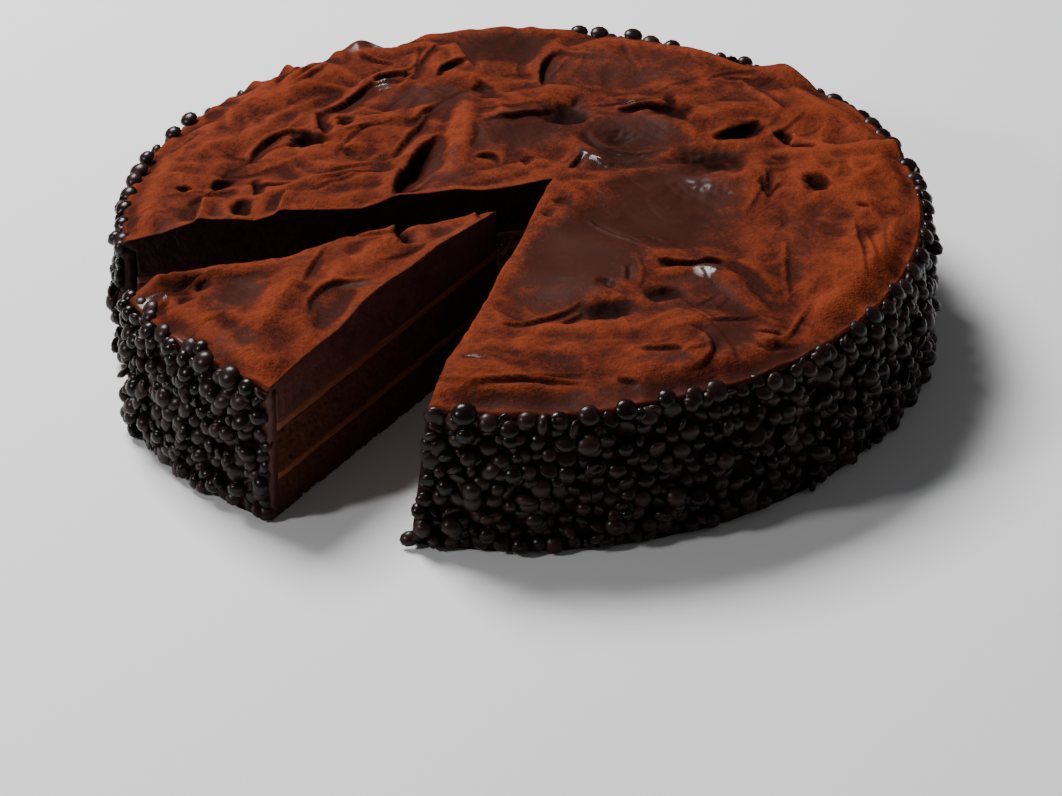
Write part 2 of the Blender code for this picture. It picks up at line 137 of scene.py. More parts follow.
def layerHeight(portion, level, x, y):
    # the slice's layers sink a little towards its outside, those above the lower sponge in full
    middle = math.radians((portion["firstCut"] + portion["lastCut"]) / 2)
    dip = portion["layerDip"] * besideCut(portion, middle, x, y)[0]
    return level - dip * np.minimum(1, level / lowestFilling)


def smoothStep(value):
    value = np.clip(value, 0, 1)
    return value * value * (3 - 2 * value)


def flatPoints(x, y):
    return np.stack([x, y, np.zeros_like(x)], -1)


def ripple(points, size, seed):
    # smooth noise from about -1 to 1 whose bumps are about this many millimetres across
    shift = Vector((seed * 17.3, seed * 5.1, seed * 9.7))
    return np.array([noise.noise(Vector(p) / size + shift) for p in points])


def addObject(name, data):
    piece = bpy.data.objects.new(name, data)
    bpy.context.scene.collection.objects.link(piece)
    return piece


class Shell:
    # gathers the points and faces of one closed piece, in millimetres

    def __init__(self):
        self.points = []
        self.faces = []
        self.finishes = []

    def add(self, x, y, z):
        # adds points and gives their numbers
        x, y, z = np.broadcast_arrays(x, y, z)
        start = len(self.points)
        self.points += list(zip(x.ravel().tolist(), y.ravel().tolist(), z.ravel().tolist()))
        return list(range(start, len(self.points)))

    def face(self, corners, finish=0):
        self.faces.append(corners)
        self.finishes.append(finish)

    def strip(self, one, other):
        # triangles between two lines that run side by side with any number of points
        i = j = 0
        while i < len(one) - 1 or j < len(other) - 1:
            oneNext = (i + 1) * max(len(other) - 1, 1)
            otherNext = (j + 1) * max(len(one) - 1, 1)
            if j == len(other) - 1 or (i < len(one) - 1 and oneNext <= otherNext):
                self.face((one[i], one[i + 1], other[j]))
                i += 1
            else:
                self.face((one[i], other[j + 1], other[j]))
                j += 1

    def quads(self, lines, finish=0):
        for low, high in zip(lines, lines[1:]):
            for i in range(len(low) - 1):
                self.face((low[i], low[i + 1], high[i + 1], high[i]), finish)

    def make(self, name, finishes, attributes=None):
        mesh = bpy.data.meshes.new(name)
        mesh.from_pydata([(x * mm, y * mm, z * mm) for x, y, z in self.points], [], self.faces)
        for finish in finishes:
            mesh.materials.append(finish)
        mesh.polygons.foreach_set("material_index", self.finishes)
        for label, values in (attributes or {}).items():
            mesh.attributes.new(label, "FLOAT", "POINT").data.foreach_set("value", values)
        work = bmesh.new()
        work.from_mesh(mesh)
        bmesh.ops.recalc_face_normals(work, faces=work.faces)
        bmesh.ops.triangulate(work, faces=[f for f in work.faces if len(f.verts) > 4])
        work.to_mesh(mesh)
        work.free()
        mesh.shade_smooth()
        return addObject(name, mesh)


def place(piece, slot, *nodes):
    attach(piece, "root")
    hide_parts(*nodes)
    print(f"{piece.name}: {sum(len(f.vertices) - 2 for f in piece.data.polygons)} triangles")


class Sock:
    # one output of a node, so that node maths reads as plain Python

    def __init__(self, graph, socket):
        self.graph = graph
        self.socket = socket

    def maths(self, operation, *values, clamp=False):
        settings = {"operation": operation, "use_clamp": clamp}
        return self.graph.add("ShaderNodeMath", settings, dict(enumerate(values)))

    def __add__(self, other):
        return self.maths("ADD", self, other)

    __radd__ = __add__

    def __mul__(self, other):
        return self.maths("MULTIPLY", self, other)

    def __sub__(self, other):
        return self.maths("SUBTRACT", self, other)

    def __rsub__(self, other):
        return self.maths("SUBTRACT", other, self)

    def clamped(self):
        return self.maths("ADD", self, 0.0, clamp=True)

    def between(self, low, high):
        # 0 below low, 1 above high, and a smooth rise between
        settings = {"interpolation_type": "SMOOTHSTEP"}
        return self.graph.add("ShaderNodeMapRange", settings, {0: self, 1: low, 2: high})


class Graph:
    # one node tree, with a single method that adds any node

    def __init__(self, tree):
        self.tree = tree

    def add(self, kind, settings=None, inputs=None, output=0):
        node = self.tree.nodes.new(kind)
        for label, value in (settings or {}).items():
            setattr(node, label, value)
        for label, value in (inputs or {}).items():
            self.join(value, node.inputs[label])
        return Sock(self, node.outputs[output])

    def join(self, value, socket):
        if isinstance(value, Sock):
            self.tree.links.new(value.socket, socket)
        else:
            socket.default_value = value

    def blend(self, factor, first, second):
        # a mix of two colours
        colours = [c if isinstance(c, Sock) else (*c, 1) for c in (first, second)]
        inputs = {0: factor, 6: colours[0], 7: colours[1]}
        return self.add("ShaderNodeMix", {"data_type": "RGBA"}, inputs, output=2)


class Finish(Graph):
    # a Principled material; what is the same all over is set on its own sockets

    def __init__(self, name, **constants):
        self.material = bpy.data.materials.new(name)
        self.material.use_nodes = True
        super().__init__(self.material.node_tree)
        self.shader = self.tree.nodes["Principled BSDF"]
        for label, value in constants.items():
            self.shader.inputs[label.replace("_", " ")].default_value = value

    def spot(self):
        # the place on the piece, in millimetres
        where = self.add("ShaderNodeTexCoord", output="Object")
        return self.add("ShaderNodeVectorMath", {"operation": "SCALE"}, {0: where, "Scale": 1 / mm})

    def grain(self, where, size, detail, roughness=0.5):
        inputs = {"Vector": where, "Scale": 1 / size, "Detail": detail, "Roughness": roughness}
        return self.add("ShaderNodeTexNoise", None, inputs)

    def attribute(self, label):
        return self.add("ShaderNodeAttribute", {"attribute_name": label}, output="Fac")

    def feed(self, **sockets):
        for label, value in sockets.items():
            self.join(value, self.shader.inputs[label.replace("_", " ")])
        return self.material

    def bumps(self, height, depth):
        # a bump whose height 0 to 1 stands for this many millimetres
        inputs = {"Strength": 1.0, "Distance": depth * mm, "Height": height}
        return self.add("ShaderNodeBump", None, inputs)


# a stroke is x, y, heading, length, turn, depth, reach, lip: the spatula follows an arc from x, y,
# scoops the fudge out on its left and leaves it standing as a lip on its right; a ninth number is
# the width of the wall between the two, where it isn't the usual one
# a pit is x, y, long, short, heading, depth: an oval hollow; a seventh number is how strong the
# painted shade in it is, where that isn't as its depth makes it
# a fold is x, y, long, short, heading, the way its crests run, the pitch of the crests, height
# a mound is x, y, long, short, heading, height
# a patch is x, y, long, short, heading, strength: where the cocoa is thin or heaped, where the
# fudge shines, or where the small strokes don't show
# edge heights are measured on the last cut: distance from the tip, height
icing = {
    "spacing": 0.65,
    "cutSpacing": 1.0,
    "wallSlope": 0.22,
    "wallWidth": 0.8,
    "groove": 0.45,
    "grooveWidth": 1.0,
    "wobble": 0.25,
    "dent": 1.8,
    "lip": [(0.7, -0.2), (1.3, -0.7), (1.6, -1.4), (1.6, -2.1), (1.2, -2.7), (0.5, -3.1)],
    "hiddenSteps": 6,
    "litHeading": 42,
    "swell": [(63, 20, 0.4, 0.8), (47, 95, 1.9, 0.7), (36, 150, 3.1, 0.5), (27, 60, 5.0, 0.35)],
    "rimWaves": [
        (44, 4.6, 4.3), (28.5, 4, 1.7), (96, 11, 2.8), (117.3, 3.2, 5.4), (112, 1.0, -1.8),
        (106, 3, 1.4), (59, 8, -1.8), (88.5, 1.2, 1.0), (121.8, 1.1, 1.6), (130.8, 1.4, 4.0),
        (137.6, 1.4, 2.4), (143, 1.1, 0.8), (147, 1.0, 1.0), (126.5, 1.8, 1.4), (134.5, 1.0, -0.5),
        (71, 4, 1.2), (83, 4, 1.4), (151.5, 1.2, 0.8),
    ],
    "ridgeSize": 13,
    "ridgeHeight": 0.5,
    "ridgeWarp": 7,
    "unevenness": [(12, 0.45), (5, 0.13), (1.9, 0.05)],
    "rimLumps": [(11, 0.9), (5, 0.45)],
    "glossRelief": 0.22,
    "bareCalm": 0.8,
    "edgeWidth": 7,
    "edgeShare": 0.8,
    "lipDust": 0.45,
    "cutDust": 0.25,
    "underRim": 2.4,
    "underTop": 0.32,
    "smallSeed": 11,
    "smallCount": {"cake": 150, "slice": 18},
    "smallStrength": {"cake": 1, "slice": 0.6},
    "smallField": 124,
    "smallCalm": 0.92,
    "smallStrokeShade": 0.4,
    "smallLip": 0.7,
    "smallLength": (9, 34),
    "smallTurn": 34,
    "smallSpread": 16,
    "smallDepth": (0.15, 0.85),
    "smallReach": (1.8, 5.0),
}
# which way the spatula went in each part of the top: x, y, heading
swept = [
    (-75, 80, 60), (-95, 40, 75), (-60, 15, 195), (-45, 50, 215), (-30, 35, -110), (-10, 62, 205),
    (5, 95, -100), (35, 88, 165), (60, 62, 160), (90, 40, 250), (98, 0, -95), (95, -35, -92),
    (72, -64, 240), (42, -62, -60), (20, -88, 185), (48, -96, 200), (15, -50, -50), (40, 10, 130),
    (-95, -12, 200), (-60, -45, 205), (-85, -65, 240),
]
icingOn = {
    "cake": {
        "strokes": [
            (-36, 81, 126, 16, 132, 1.6, 6, 0.7), (-48, 79, -123, 31, 0, 1.4, 8, 0.9),
            (-65, 55, -88, 19, 19, 2.4, 6, 0.6, 2.0), (-40, 48, -145, 19, -8, 0.6, 3, 0.4),
            (-62, 30, 103, 16, 57, 3.0, 7, 0.6, 2.4), (-71, 42, -154, 25, 61, 1.6, 6, 0.5),
            (-70, 7, 175, 15, -29, 1.2, 3, 0.4), (-83, 13, -69, 14, -26, 2.0, 4, 0.4, 1.6),
            (-88, 14, -176, 13, 113, 2.2, 5, 0.4, 1.8), (-100, 4, 120, 6, 103, 1.6, 4, 0.3),
            (-43, 17, -156, 22, 6, 0.7, 3, 0.5), (-46, 13, -157, 22, 14, 0.5, 3, 0.4),
            (-67, 91, -139, 23, 29, 1.4, 5, 0.6), (-63, 87, -130, 21, 12, 0.8, 4, 0.5),
            (-42, 91, 167, 15, -37, 0.9, 3, 1.0), (-27, 39, -120, 48, 31, 4.0, 12, 1.4),
            (-30, 54, -110, 31, 0, 1.1, 4, 0.7), (-17, 89, -175, 16, 79, 2.0, 5, 0.5),
            (12, 98, -125, 27, 45, 1.8, 6, 0.6), (10, 58, -133, 26, -38, 1.2, 6, 0.7),
            (-8, 19, 62, 12, 180, 1.3, 4, 0.4), (18, 25, -119, 12, 17, 1.4, 4, 0.5),
            (50, 54, 158, 21, 34, 2.6, 6, 0.8, 2.0), (74, 44, 215, 18, -12, 2.4, 7, 0.8, 1.8),
            (77, 2, -126, 9, 0, 0.8, 3, 0.3), (73, 9, -88, 12, 0, 0.7, 3, 0.5),
            (57, -45, 169, 19, 18, 2.6, 5, 0.8, 1.4), (65, -72, -154, 17, 0, 0.7, 3, 0.6),
            (41, -31, 133, 10, 47, 0.5, 3, 0.4), (19, -17, -59, 27, 22, 0.8, 3.5, 1.0),
            (29, -48, -92, 8, 0, 0.6, 3, 0.3), (16, -65, -129, 27, -52, 1.0, 3.5, 0.7, 1.3),
            (16, -70, -134, 9, 0, 0.9, 3.5, 0.5, 1.2), (45, -83, -28, 28, -146, 0.6, 4, 0.7),
            (43, -95, 160, 12, 20, 1.1, 4, 0.5), (15, -107, 175, 33, 23, 1.2, 3.5, 0.7, 1.3),
            (16, -103, 175, 17, 32, 0.5, 2.5, 0.3), (30, -108, 159, 6, 0, 1.2, 3, 0.4),
            (-9, -99, 160, 10, 0, 0.5, 2.5, 0.4), (97, -19, -90, 36, 0, 0.5, 3, 0.5),
            (100, -25, -88, 23, 0, 0.4, 3, 0.4),
            (70, -61, 118, 20, 6, 1.0, 8, 1.4), (42, 29, 205, 32, -118, 1.0, 5, 0.5, 2.4),
            (-98, -34, 88, 36, 0, 1.6, 8, 2.6), (-76, -24, 80, 26, 0, 1.8, 7, 2.0),
            (-22, 107, -80, 24, 10, 1.2, 10, 1.3),
            (-62, 97, -122, 30, 8, 0.9, 8, 1.0), (76, -33, -95, 34, 4, 0.4, 5, 0.4),
            (40, 102, -12, 40, -20, 0.7, 12, 0.8), (70, 78, -60, 30, -10, 0.8, 9, 0.9),
        ],
        "pits": [
            (-6, 104, 28, 28, 0, 1.8), (13, 53, 13, 13, -12, 3.4, 1), (3, 43, 26, 16, 40, 1.4),
            (-56, 47, 5, 9, 0, 2.7), (29, 34, 24, 28, 0, 1.8), (30, 38, 9, 8, 0, 1.9),
            (56, 21, 22, 19, 0, 2.4, 0.4), (57, 20, 19, 15, 0, 1.9, 1), (88, 1, 9, 11, 0, 2.8, 1),
            (42, -16, 44, 36, 0, 1.2), (50, -3, 20, 15, -20, 1.3), (23, -70, 14, 9, 0, 2.0, 1),
            (17, 62, 6, 4, 80, 1.2), (-13, 72, 7, 4, -35, 1.6), (81, 34, 4, 8, 0, 2.6),
            (86, 28, 7, 6, 0, 2.6), (73, 0, 3, 9, 0, 1.5), (78, 20, 6, 3, 0, 1.2),
            (100, -11, 3, 4, 0, 1.5), (-84, -7, 6, 8, 0, 2.8), (46, 51.5, 15, 11, -8, 2.2, 1),
            (47, 59, 4, 9, 15, 1.6, 0.9), (69, 37.5, 13, 10, 30, 1.8, 1), (1, 20, 3, 8, 0, 1.4),
            (39, -61, 11, 8, 20, 1.8, 0.9), (23, -57, 4, 3, 0, 1.4), (11, -8, 6, 4, 45, 1.2),
            (7, -14, 4, 4, 0, 1.0), (79, 76, 7, 5, 60, 1.0), (70, -89, 10, 3, 15, 2.2),
            (68, -83, 6, 3, 10, 1.6), (52, -50, 9, 7, -50, -1.0), (-44, 77, 7, 6, 60, -0.7),
            (35, 64, 12, 5, -10, -0.8), (-30, 66, 9, 6, 0, -0.4), (-90, 62, 7, 5, 60, 0.8),
            (-53, 27, 5, 4, 0, 1.0), (-66, 35, 12, 7, 15, 3.0),
        ],
        "folds": [
            (-82, 66, 70, 40, 55, 54, 13, 1.2), (-60, 14, 80, 34, 10, 14, 11, 0.9),
            (-25, 88, 60, 34, 0, -25, 13, 0.95), (88, 55, 50, 36, -50, -70, 12, 0.5),
            (98, 0, 60, 34, 90, 84, 11, 0.5), (20, -88, 70, 26, 0, 6, 11, 0.5),
        ],
        "mounds": [
            (-76, 74, 44, 20, 50, 1.6), (-47, 47, 44, 9, 33, 1.4), (-20, 40, 46, 9, -95, 1.6),
            (2, 64, 34, 12, 22, 1.3), (-98, 22, 34, 14, 80, 1.0), (-52, 9, 40, 10, 5, 1.0),
            (8, 96, 30, 9, 75, 1.2), (-40, 104, 30, 12, 25, 1.2), (62, 52, 26, 10, 20, 1.0),
            (88, 20, 30, 12, 70, 1.0), (60, -60, 34, 7, -62, 1.2), (30, -78, 50, 12, 5, 1.1),
            (48, -92, 20, 6, 60, 0.5), (84, -62, 40, 16, 55, 0.9), (-5, 14, 30, 8, 25, 0.9),
            (20, 26, 24, 7, -60, 0.9), (44, 47, 24, 7, -50, 1.0), (5, -90, 30, 8, -5, 0.7),
            (70, 10, 30, 8, 85, 0.8), (47, -47, 22, 6, 25, 0.9), (-70, 24, 30, 9, 20, 0.9),
            (29, 20, 24, 7, 5, 1.2),
        ],
        "bare": [
            (18, -38, 62, 36, 70, 1.0), (42, -8, 62, 38, 80, 0.95), (5, 45, 46, 24, 35, 0.9),
            (32, 40, 34, 30, 0, 0.8), (56, 22, 26, 22, -60, 0.5), (-6, 103, 32, 28, 0, 0.72),
            (35, 86, 62, 28, 0, 0.55), (70, 68, 18, 16, 0, 0.4), (-30, 66, 26, 14, 0, 0.8),
            (-50, 103, 16, 7, 18, 0.8), (-25, 14, 38, 12, 80, 0.6), (48, -62, 36, 30, 0, 0.5),
            (56, -86, 20, 16, 60, 0.9), (39, -99, 14, 6, 0, 0.8), (30, -112, 94, 10, 8, 0.72),
            (70, -98, 50, 13, 35, 0.95), (84, -28, 44, 20, 70, 0.45), (-92, -16, 24, 12, 80, 0.4),
            (-106, -12, 26, 12, 90, 0.5), (23, -69, 22, 14, -20, 0.5), (10, -90, 22, 15, 60, 0.4),
        ],
        "heaped": [
            (98, 20, 90, 34, 95, 1), (95, -50, 60, 30, 70, 0.8), (-90, 50, 60, 30, 60, 0.25),
            (-60, 80, 50, 20, 50, 0.35), (-50, 30, 50, 20, 20, 0.2), (10, -84, 50, 16, 0, 0.5),
            (-20, 40, 40, 8, -95, 0.6), (50, 96, 50, 12, -30, 0.4),
        ],
        "glossy": [
            (-44, 77, 8, 5, 60, 1), (29, 19.5, 24, 7, 5, 1), (19, 24, 7, 4, -60, 1),
            (36, 61, 12, 3, 0, 0.8), (27, 25, 22, 6, 10, 0.8), (-50, 103, 14, 6, 18, 0.7),
            (54, 3, 24, 10, -10, 0.25), (52, -50, 8, 6, -50, 1), (57, -76, 9, 5, 45, 0.6),
            (-69, 34, 6, 4, 0, 0.5), (-13, -97, 12, 4, -20, 0.25), (12, -54, 5, 3, 0, 0.8),
            (29, -54, 4, 3, 0, 0.8), (-10, 84, 8, 5, 0, 0.3), (29, -26, 22, 1.6, -55, 0.6),
            (-60, 104, 12, 4, 20, 0.3),
        ],
        "smoothed": [
            (-2, 16, 38, 30, 0, 1), (66, -54, 24, 30, 0, 1), (8, -90, 60, 28, -5, 0.9),
            (86, -14, 24, 30, 0, 0.6),
        ],
        "edgeHeights": [
            (1, 46.6), (7, 46.4), (16, 45.9), (22, 46.1), (29, 47.6), (38, 47.4), (47, 48.3),
            (53, 45.8), (59, 44.2), (68, 45.1), (82, 47.6), (86, 46.2), (91, 44.8), (95, 46.1),
            (107, 48.0), (110, 47.1), (119, 43.7), (128, 43.6),
        ],
    },
    "slice": {
        "strokes": [
            (-49, -55, 166, 20, 120, 0.9, 6, 0.5), (-38, -18, -77, 13, 0, 3.2, 7, 1.6, 2.0),
            (-58, -31, -109, 23, 12, 0.8, 4, 0.5, 0.5), (-90, -50, -150, 10, 85, 1.0, 4, 0.5),
            (-15, -8, -79, 7, 0, 1.3, 5, 0.9), (-72, -33, 25, 34, 0, 0.6, 8, 1.4),
            (-98, -56, 66, 14, -30, 1.2, 4, 0.8), (-36, -24, 190, 16, 0, 0.6, 3, 0.4),
            (-100, -62, 195, 12, 40, 2.2, 6, 1.2),
        ],
        "pits": [
            (-106, -65, 8, 9, 0, 3.2), (-100, -55, 24, 12, 23, 2.6), (-36, -25, 5, 9, 10, 2.6),
            (-96, -62, 5, 5, 0, 1.6), (-82, -58, 16, 19, 0, 1.0), (-80, -83, 11, 13, 0, 0.6),
            (-54, -67, 18, 22, 0, 0.9), (-46, -55, 13, 4, -5, -0.5),
        ],
        "folds": [
            (-78, -56, 60, 40, 60, 65, 12, 0.35), (-48, -40, 50, 30, 50, 40, 11, 0.35),
        ],
        "mounds": [
            (-70, -58, 40, 9, 75, 0.8), (-44, -40, 30, 10, 55, 0.7), (-90, -74, 26, 9, -50, 0.6),
            (-60, -84, 26, 8, 55, 0.5), (-86, -44, 24, 7, 20, 0.6),
        ],
        "bare": [
            (-82, -58, 18, 19, 0, 0.75), (-80, -83, 13, 13, 0, 0.6), (-54, -69, 14, 17, 0, 0.25),
            (-26, -22, 20, 10, 30, 0.45), (-99, -80, 36, 6, -50, 0.9), (-46, -56, 15, 3, -5, 0.8),
        ],
        "heaped": [(-70, -66, 40, 14, 60, 0.4), (-45, -38, 40, 14, 50, 0.35)],
        "glossy": [(-96, -80, 12, 3, -50, 0.6), (-105, -59, 10, 4, 10, 0.9)],
        "smoothed": [(-70, -60, 60, 40, 40, 0.5)],
        "edgeHeights": [
            (0, 43.6), (3.5, 44.2), (14, 45.9), (30, 47.4), (46, 46.7), (58, 47.6), (68, 47.3),
            (80, 43.8), (97, 42.9), (104, 41.6), (114, 41.0),
        ],
    },
}


def smallStrokes(name):
    # shallow strokes all over the top, each going roughly the way of its part
    draw = random.Random(icing["smallSeed"])
    portion = portions[name]
    found = []
    for _ in range(icing["smallCount"][name]):
        heading = math.radians(draw.uniform(portion["firstCut"], portion["lastCut"]))
        away = icing["smallField"] * math.sqrt(draw.random())
        x = portion["tip"][0] + away * math.cos(heading)
        y = portion["tip"][1] + away * math.sin(heading)
        near = min(swept, key=lambda part: math.hypot(part[0] - x, part[1] - y))
        low, high = icing["smallDepth"]
        depth = (low + (high - low) * draw.random() ** 2) * icing["smallStrength"][name]
        found.append((
            x, y, near[2] + draw.gauss(0, icing["smallSpread"]), draw.uniform(*icing["smallLength"]),
            draw.gauss(0, icing["smallTurn"]), depth, draw.uniform(*icing["smallReach"]),
            icing["smallLip"] * depth,
        ))
    return found


def besideStroke(stroke, x, y):
    # how far along a stroke's arc each point lies, how far to its left, and the arc's heading there
    startX, startY, degrees, length, turnDegrees = stroke[:5]
    heading, turn = math.radians(degrees), math.radians(turnDegrees)
    if abs(turn) < 0.01:
        dx, dy = x - startX, y - startY
        along = dx * math.cos(heading) + dy * math.sin(heading)
        return along, dy * math.cos(heading) - dx * math.sin(heading), heading + 0 * along
    bend = length / turn
    dx = (x - startX + bend * math.sin(heading)) * np.sign(bend)
    dy = (y - startY - bend * math.cos(heading)) * np.sign(bend)
    swing = np.arctan2(dy, dx) - (heading - math.pi / 2 + turn / 2)
    swing = (swing + math.pi) % (2 * math.pi) - math.pi
    along = bend * (swing + turn / 2)
    return along, bend - np.hypot(dx, dy) * np.sign(bend), heading + turn * along / length


def strokeStrength(along, length):
    return np.sin(math.pi * np.clip(along / length, 0, 1)) ** 0.6


def inOval(x, y, oval):
    # 0 at the middle of an oval and 1 on its outline
    middleX, middleY, long, short, degrees = oval[:5]
    heading = math.radians(degrees)
    along = (x - middleX) * math.cos(heading) + (y - middleY) * math.sin(heading)
    across = (y - middleY) * math.cos(heading) - (x - middleX) * math.sin(heading)
    return np.hypot(2 * along / long, 2 * across / short)


def patchAt(ovals, x, y):
    # the strength of the strongest patch at each point
    return np.max([oval[5] * smoothStep(1.5 - inOval(x, y, oval)) for oval in ovals], axis=0)


def pressStrokes(relief, crease, x, y, on, small):
    # scoops out every stroke, and paints shade on its wall where that faces away from the key light
    flat = flatPoints(x, y)
    wobble = icing["wobble"] * (ripple(flat, 7, 41) + 0.5 * ripple(flat, 2.8, 42))
    bare, heap, smoothed = (patchAt(on[kind], x, y) for kind in ("bare", "heaped", "smoothed"))
    for number, stroke in enumerate(on["strokes"] + small):
        length, depth, reach, lip = stroke[3], *stroke[5:8]
        near = np.hypot(x - stroke[0], y - stroke[1]) < length + reach
        along, left, heading = besideStroke(stroke, x[near], y[near])
        left = left + wobble[near]
        strength = strokeStrength(along, length)
        wallWidth = stroke[8] if len(stroke) > 8 else icing["wallWidth"] + icing["wallSlope"] * depth
        scooped = -depth * smoothStep(1 - left / reach)
        raised = lip * smoothStep(1 + left / (0.6 * reach))
        wall = smoothStep(left / wallWidth + 0.5)
        groove = icing["groove"] * depth * smoothStep(1 - np.abs(left) / icing["grooveWidth"])
        isSmall = number >= len(on["strokes"])
        calmer = np.clip(1 - icing["smallCalm"] * bare[near] - smoothed[near], 0, 1)
        fade = calmer * (1 - 0.6 * np.clip(heap[near], 0, 1)) if isSmall else 1
        relief[near] += fade * strength * ((1 - wall) * raised + wall * scooped - groove)
        # painted shade on the walls that face the front or the right, away from the key light
        turnedAway = smoothStep(0.9 - 1.5 * np.cos(heading - math.radians(icing["litHeading"])))
        line = smoothStep(1.3 - np.abs(left - 0.1 * wallWidth) / (0.5 * wallWidth + 0.3))
        dark = min(1, depth / 1.5) * (icing["smallStrokeShade"] if isSmall else 1)
        crease[near] = np.maximum(crease[near], fade * turnedAway * strength * line * dark)


def pressPits(relief, crease, x, y, on):
    # the same for the pits, whose outlines are dented: each is scooped out and gets painted shade
    # inside
    flat = flatPoints(x, y)
    dentX, dentY = (
        value + icing["dent"] * (ripple(flat, 4.5, seed) + 0.5 * ripple(flat, 1.9, seed + 2))
        for value, seed in ((x, 51), (y, 52)))
    for pit in on["pits"]:
        middle = inOval(dentX, dentY, pit)
        relief -= pit[5] * smoothStep((1.45 - middle) / 1.3)
        # painted shade in the pit, set by its seventh number or else by its depth
        dark = pit[6] if len(pit) > 6 else np.clip((pit[5] - 1.0) / 2.0, 0, 1)
        np.maximum(crease, dark * smoothStep((1.42 - middle) / 0.85), out=crease)


def foldsAt(x, y, warp, on):
    # rows of soft crests across an oval, broken up by noise
    folds = np.zeros_like(x)
    for oval in on["folds"]:
        heading, pitch, height = math.radians(oval[5]), oval[6], oval[7]
        across = y * math.cos(heading) - x * math.sin(heading) + 5 * warp[:, 0] + 2 * warp[:, 1]
        crest = (1 - np.abs(np.sin(math.pi * across / pitch))) ** 1.4
        folds += height * crest * smoothStep(1.5 - inOval(x, y, oval))
    return folds * smoothStep(0.6 + 1.6 * ripple(flatPoints(x, y), 19, 36))


def rimLevel(x, y):
    # the height of the rim on the way out to each point
    heading = np.degrees(np.arctan2(y, x))
    rim = cake["rimHeight"] + 0.3 * np.sin(0.09 * x + 0.13 * y)
    for middle, halfWidth, rise in icing["rimWaves"]:
        rim += rise * np.exp(-(((heading - middle) / halfWidth) ** 2))
    for size, rise in icing["rimLumps"]:
        rim += rise * ripple(flatPoints(x, y), size, 50)
    return rim


def icingHeight(portion, on, small, x, y):
    # the height of the top at each point, and how much painted shade its creases and pits put on it
    flat = flatPoints(x, y)
    relief, crease = np.zeros_like(x), np.zeros_like(x)
    for length, degrees, phase, height in icing["swell"]:
        way = x * math.cos(math.radians(degrees)) + y * math.sin(math.radians(degrees))
        relief += height * np.sin(2 * math.pi * way / length + phase)
    pressStrokes(relief, crease, x, y, on, small)
    pressPits(relief, crease, x, y, on)
    for mound in on["mounds"]:
        relief += mound[5] * smoothStep(1.4 - inOval(x, y, mound))
    calm = 1 - icing["bareCalm"] * patchAt(on["bare"], x, y)
    warp = flatPoints(ripple(flat, 16, 31), ripple(flat, 16, 32))
    ridges = 1 - 3.2 * np.abs(ripple(flat + icing["ridgeWarp"] * warp, icing["ridgeSize"], 33))
    relief += icing["ridgeHeight"] * calm * (np.clip(ridges, -0.6, 1) - 0.1)
    relief += foldsAt(x, y, warp, on)
    for seed, (size, height) in enumerate(icing["unevenness"]):
        relief += height * calm * ripple(flat, size, seed)
    relief += icing["glossRelief"] * patchAt(on["glossy"], x, y) * ripple(flat, 2.4, 44)
    # it rolls down to the rim and keeps to the heights measured on the last cut
    rim = rimLevel(x, y)
    inward = smoothStep(insideRim(portion, x, y) / cake["edgeRoll"])
    height = rim + (cake["topLevel"] - rim + relief) * inward
    along, left = besideCut(portion, math.radians(portion["lastCut"]), x, y)
    measured = np.interp(along, *zip(*on["edgeHeights"]))
    atEdge = smoothStep(1 - np.abs(left) / icing["edgeWidth"]) * icing["edgeShare"]
    height += atEdge * (measured - height)
    return np.clip(height, cake["lowestTop"], cake["highestTop"]), crease * inward


def rollRim(shell, portion, rim, partWay):
    # the rim rolls over onto the side, in rows of points of which the first is the rim itself
    x, y, z = np.transpose([shell.points[number] for number in rim])
    flat = flatPoints(x, y)
    hang = np.clip(0.6 + 0.9 * ripple(flat, 9, 7) + 0.5 * ripple(flat, 3.5, 8), 0.15, 1.8)
    rows = [rim]
    for outward, down in icing["lip"]:
        beyond = outward * (0.6 + 0.4 * hang) / cake["rimRadius"]
        rows.append(shell.add(*topPlace(portion, partWay, 1 + beyond), z + down * hang))
        shell.strip(rows[-2], rows[-1])
    return rows


def hangCuts(shell, portion, rows, shares, steps):
    # each cut face hangs from the ends of the rows, in columns of points
    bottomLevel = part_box("cake_fudge_top")[0].z / mm
    cuts = []
    for side in (0, 1):
        columns = []
        for row, share in zip(rows, shares):
            if columns or not cuts:
                top = shell.points[row[-side]][2]
                bottom = float(layerHeight(portion, bottomLevel, *topPlace(portion, side, share)))
                heights = top + (bottom - top) * steps
                x, y = wedgePlace(portion, side, share, cake["rimRadius"], heights)
                columns.append([row[-side]] + shell.add(x, y, heights))
            else:
                # both cuts share the column at the tip
                columns.append(cuts[0][0])
        shell.quads(columns, 1)
        cuts.append(columns)
    return cuts


def closeIcing(shell, portion, rimLength, share, cuts, lipRows, under):
    # the side that the coat hides, from this many points down, and the underside
    coarse = np.linspace(0, 1, round(rimLength / icing["hiddenSteps"]) + 1)
    rings = []
    for ends in list(zip(cuts[0][-1], cuts[1][-1]))[under:]:
        height = np.interp(coarse, (0, 1), [shell.points[end][2] for end in ends])
        x, y = wedgePlace(portion, coarse[1:-1], share, cake["rimRadius"], height[1:-1])
        rings.append([ends[0]] + shell.add(x, y, height[1:-1]) + [ends[1]])
    shell.strip(lipRows[-1], rings[0])
    shell.quads(rings, 1)
    firstCut, lastCut = ([column[-1] for column in columns] for columns in cuts)
    shell.face(firstCut + rings[-1][1:-1] + lastCut[:0:-1], 1)


def evened(mesh, values, rounds):
    # each point's value averaged with its neighbours'
    edges = np.empty(2 * len(mesh.edges), dtype=np.int64)
    mesh.edges.foreach_get("vertices", edges)
    one, other = edges[::2], edges[1::2]
    count = 1 + np.bincount(one, minlength=len(values)) + np.bincount(other, minlength=len(values))
    for _ in range(rounds):
        total = values + np.bincount(one, values[other], len(values))
        total += np.bincount(other, values[one], len(values))
        values = total / count
    return values


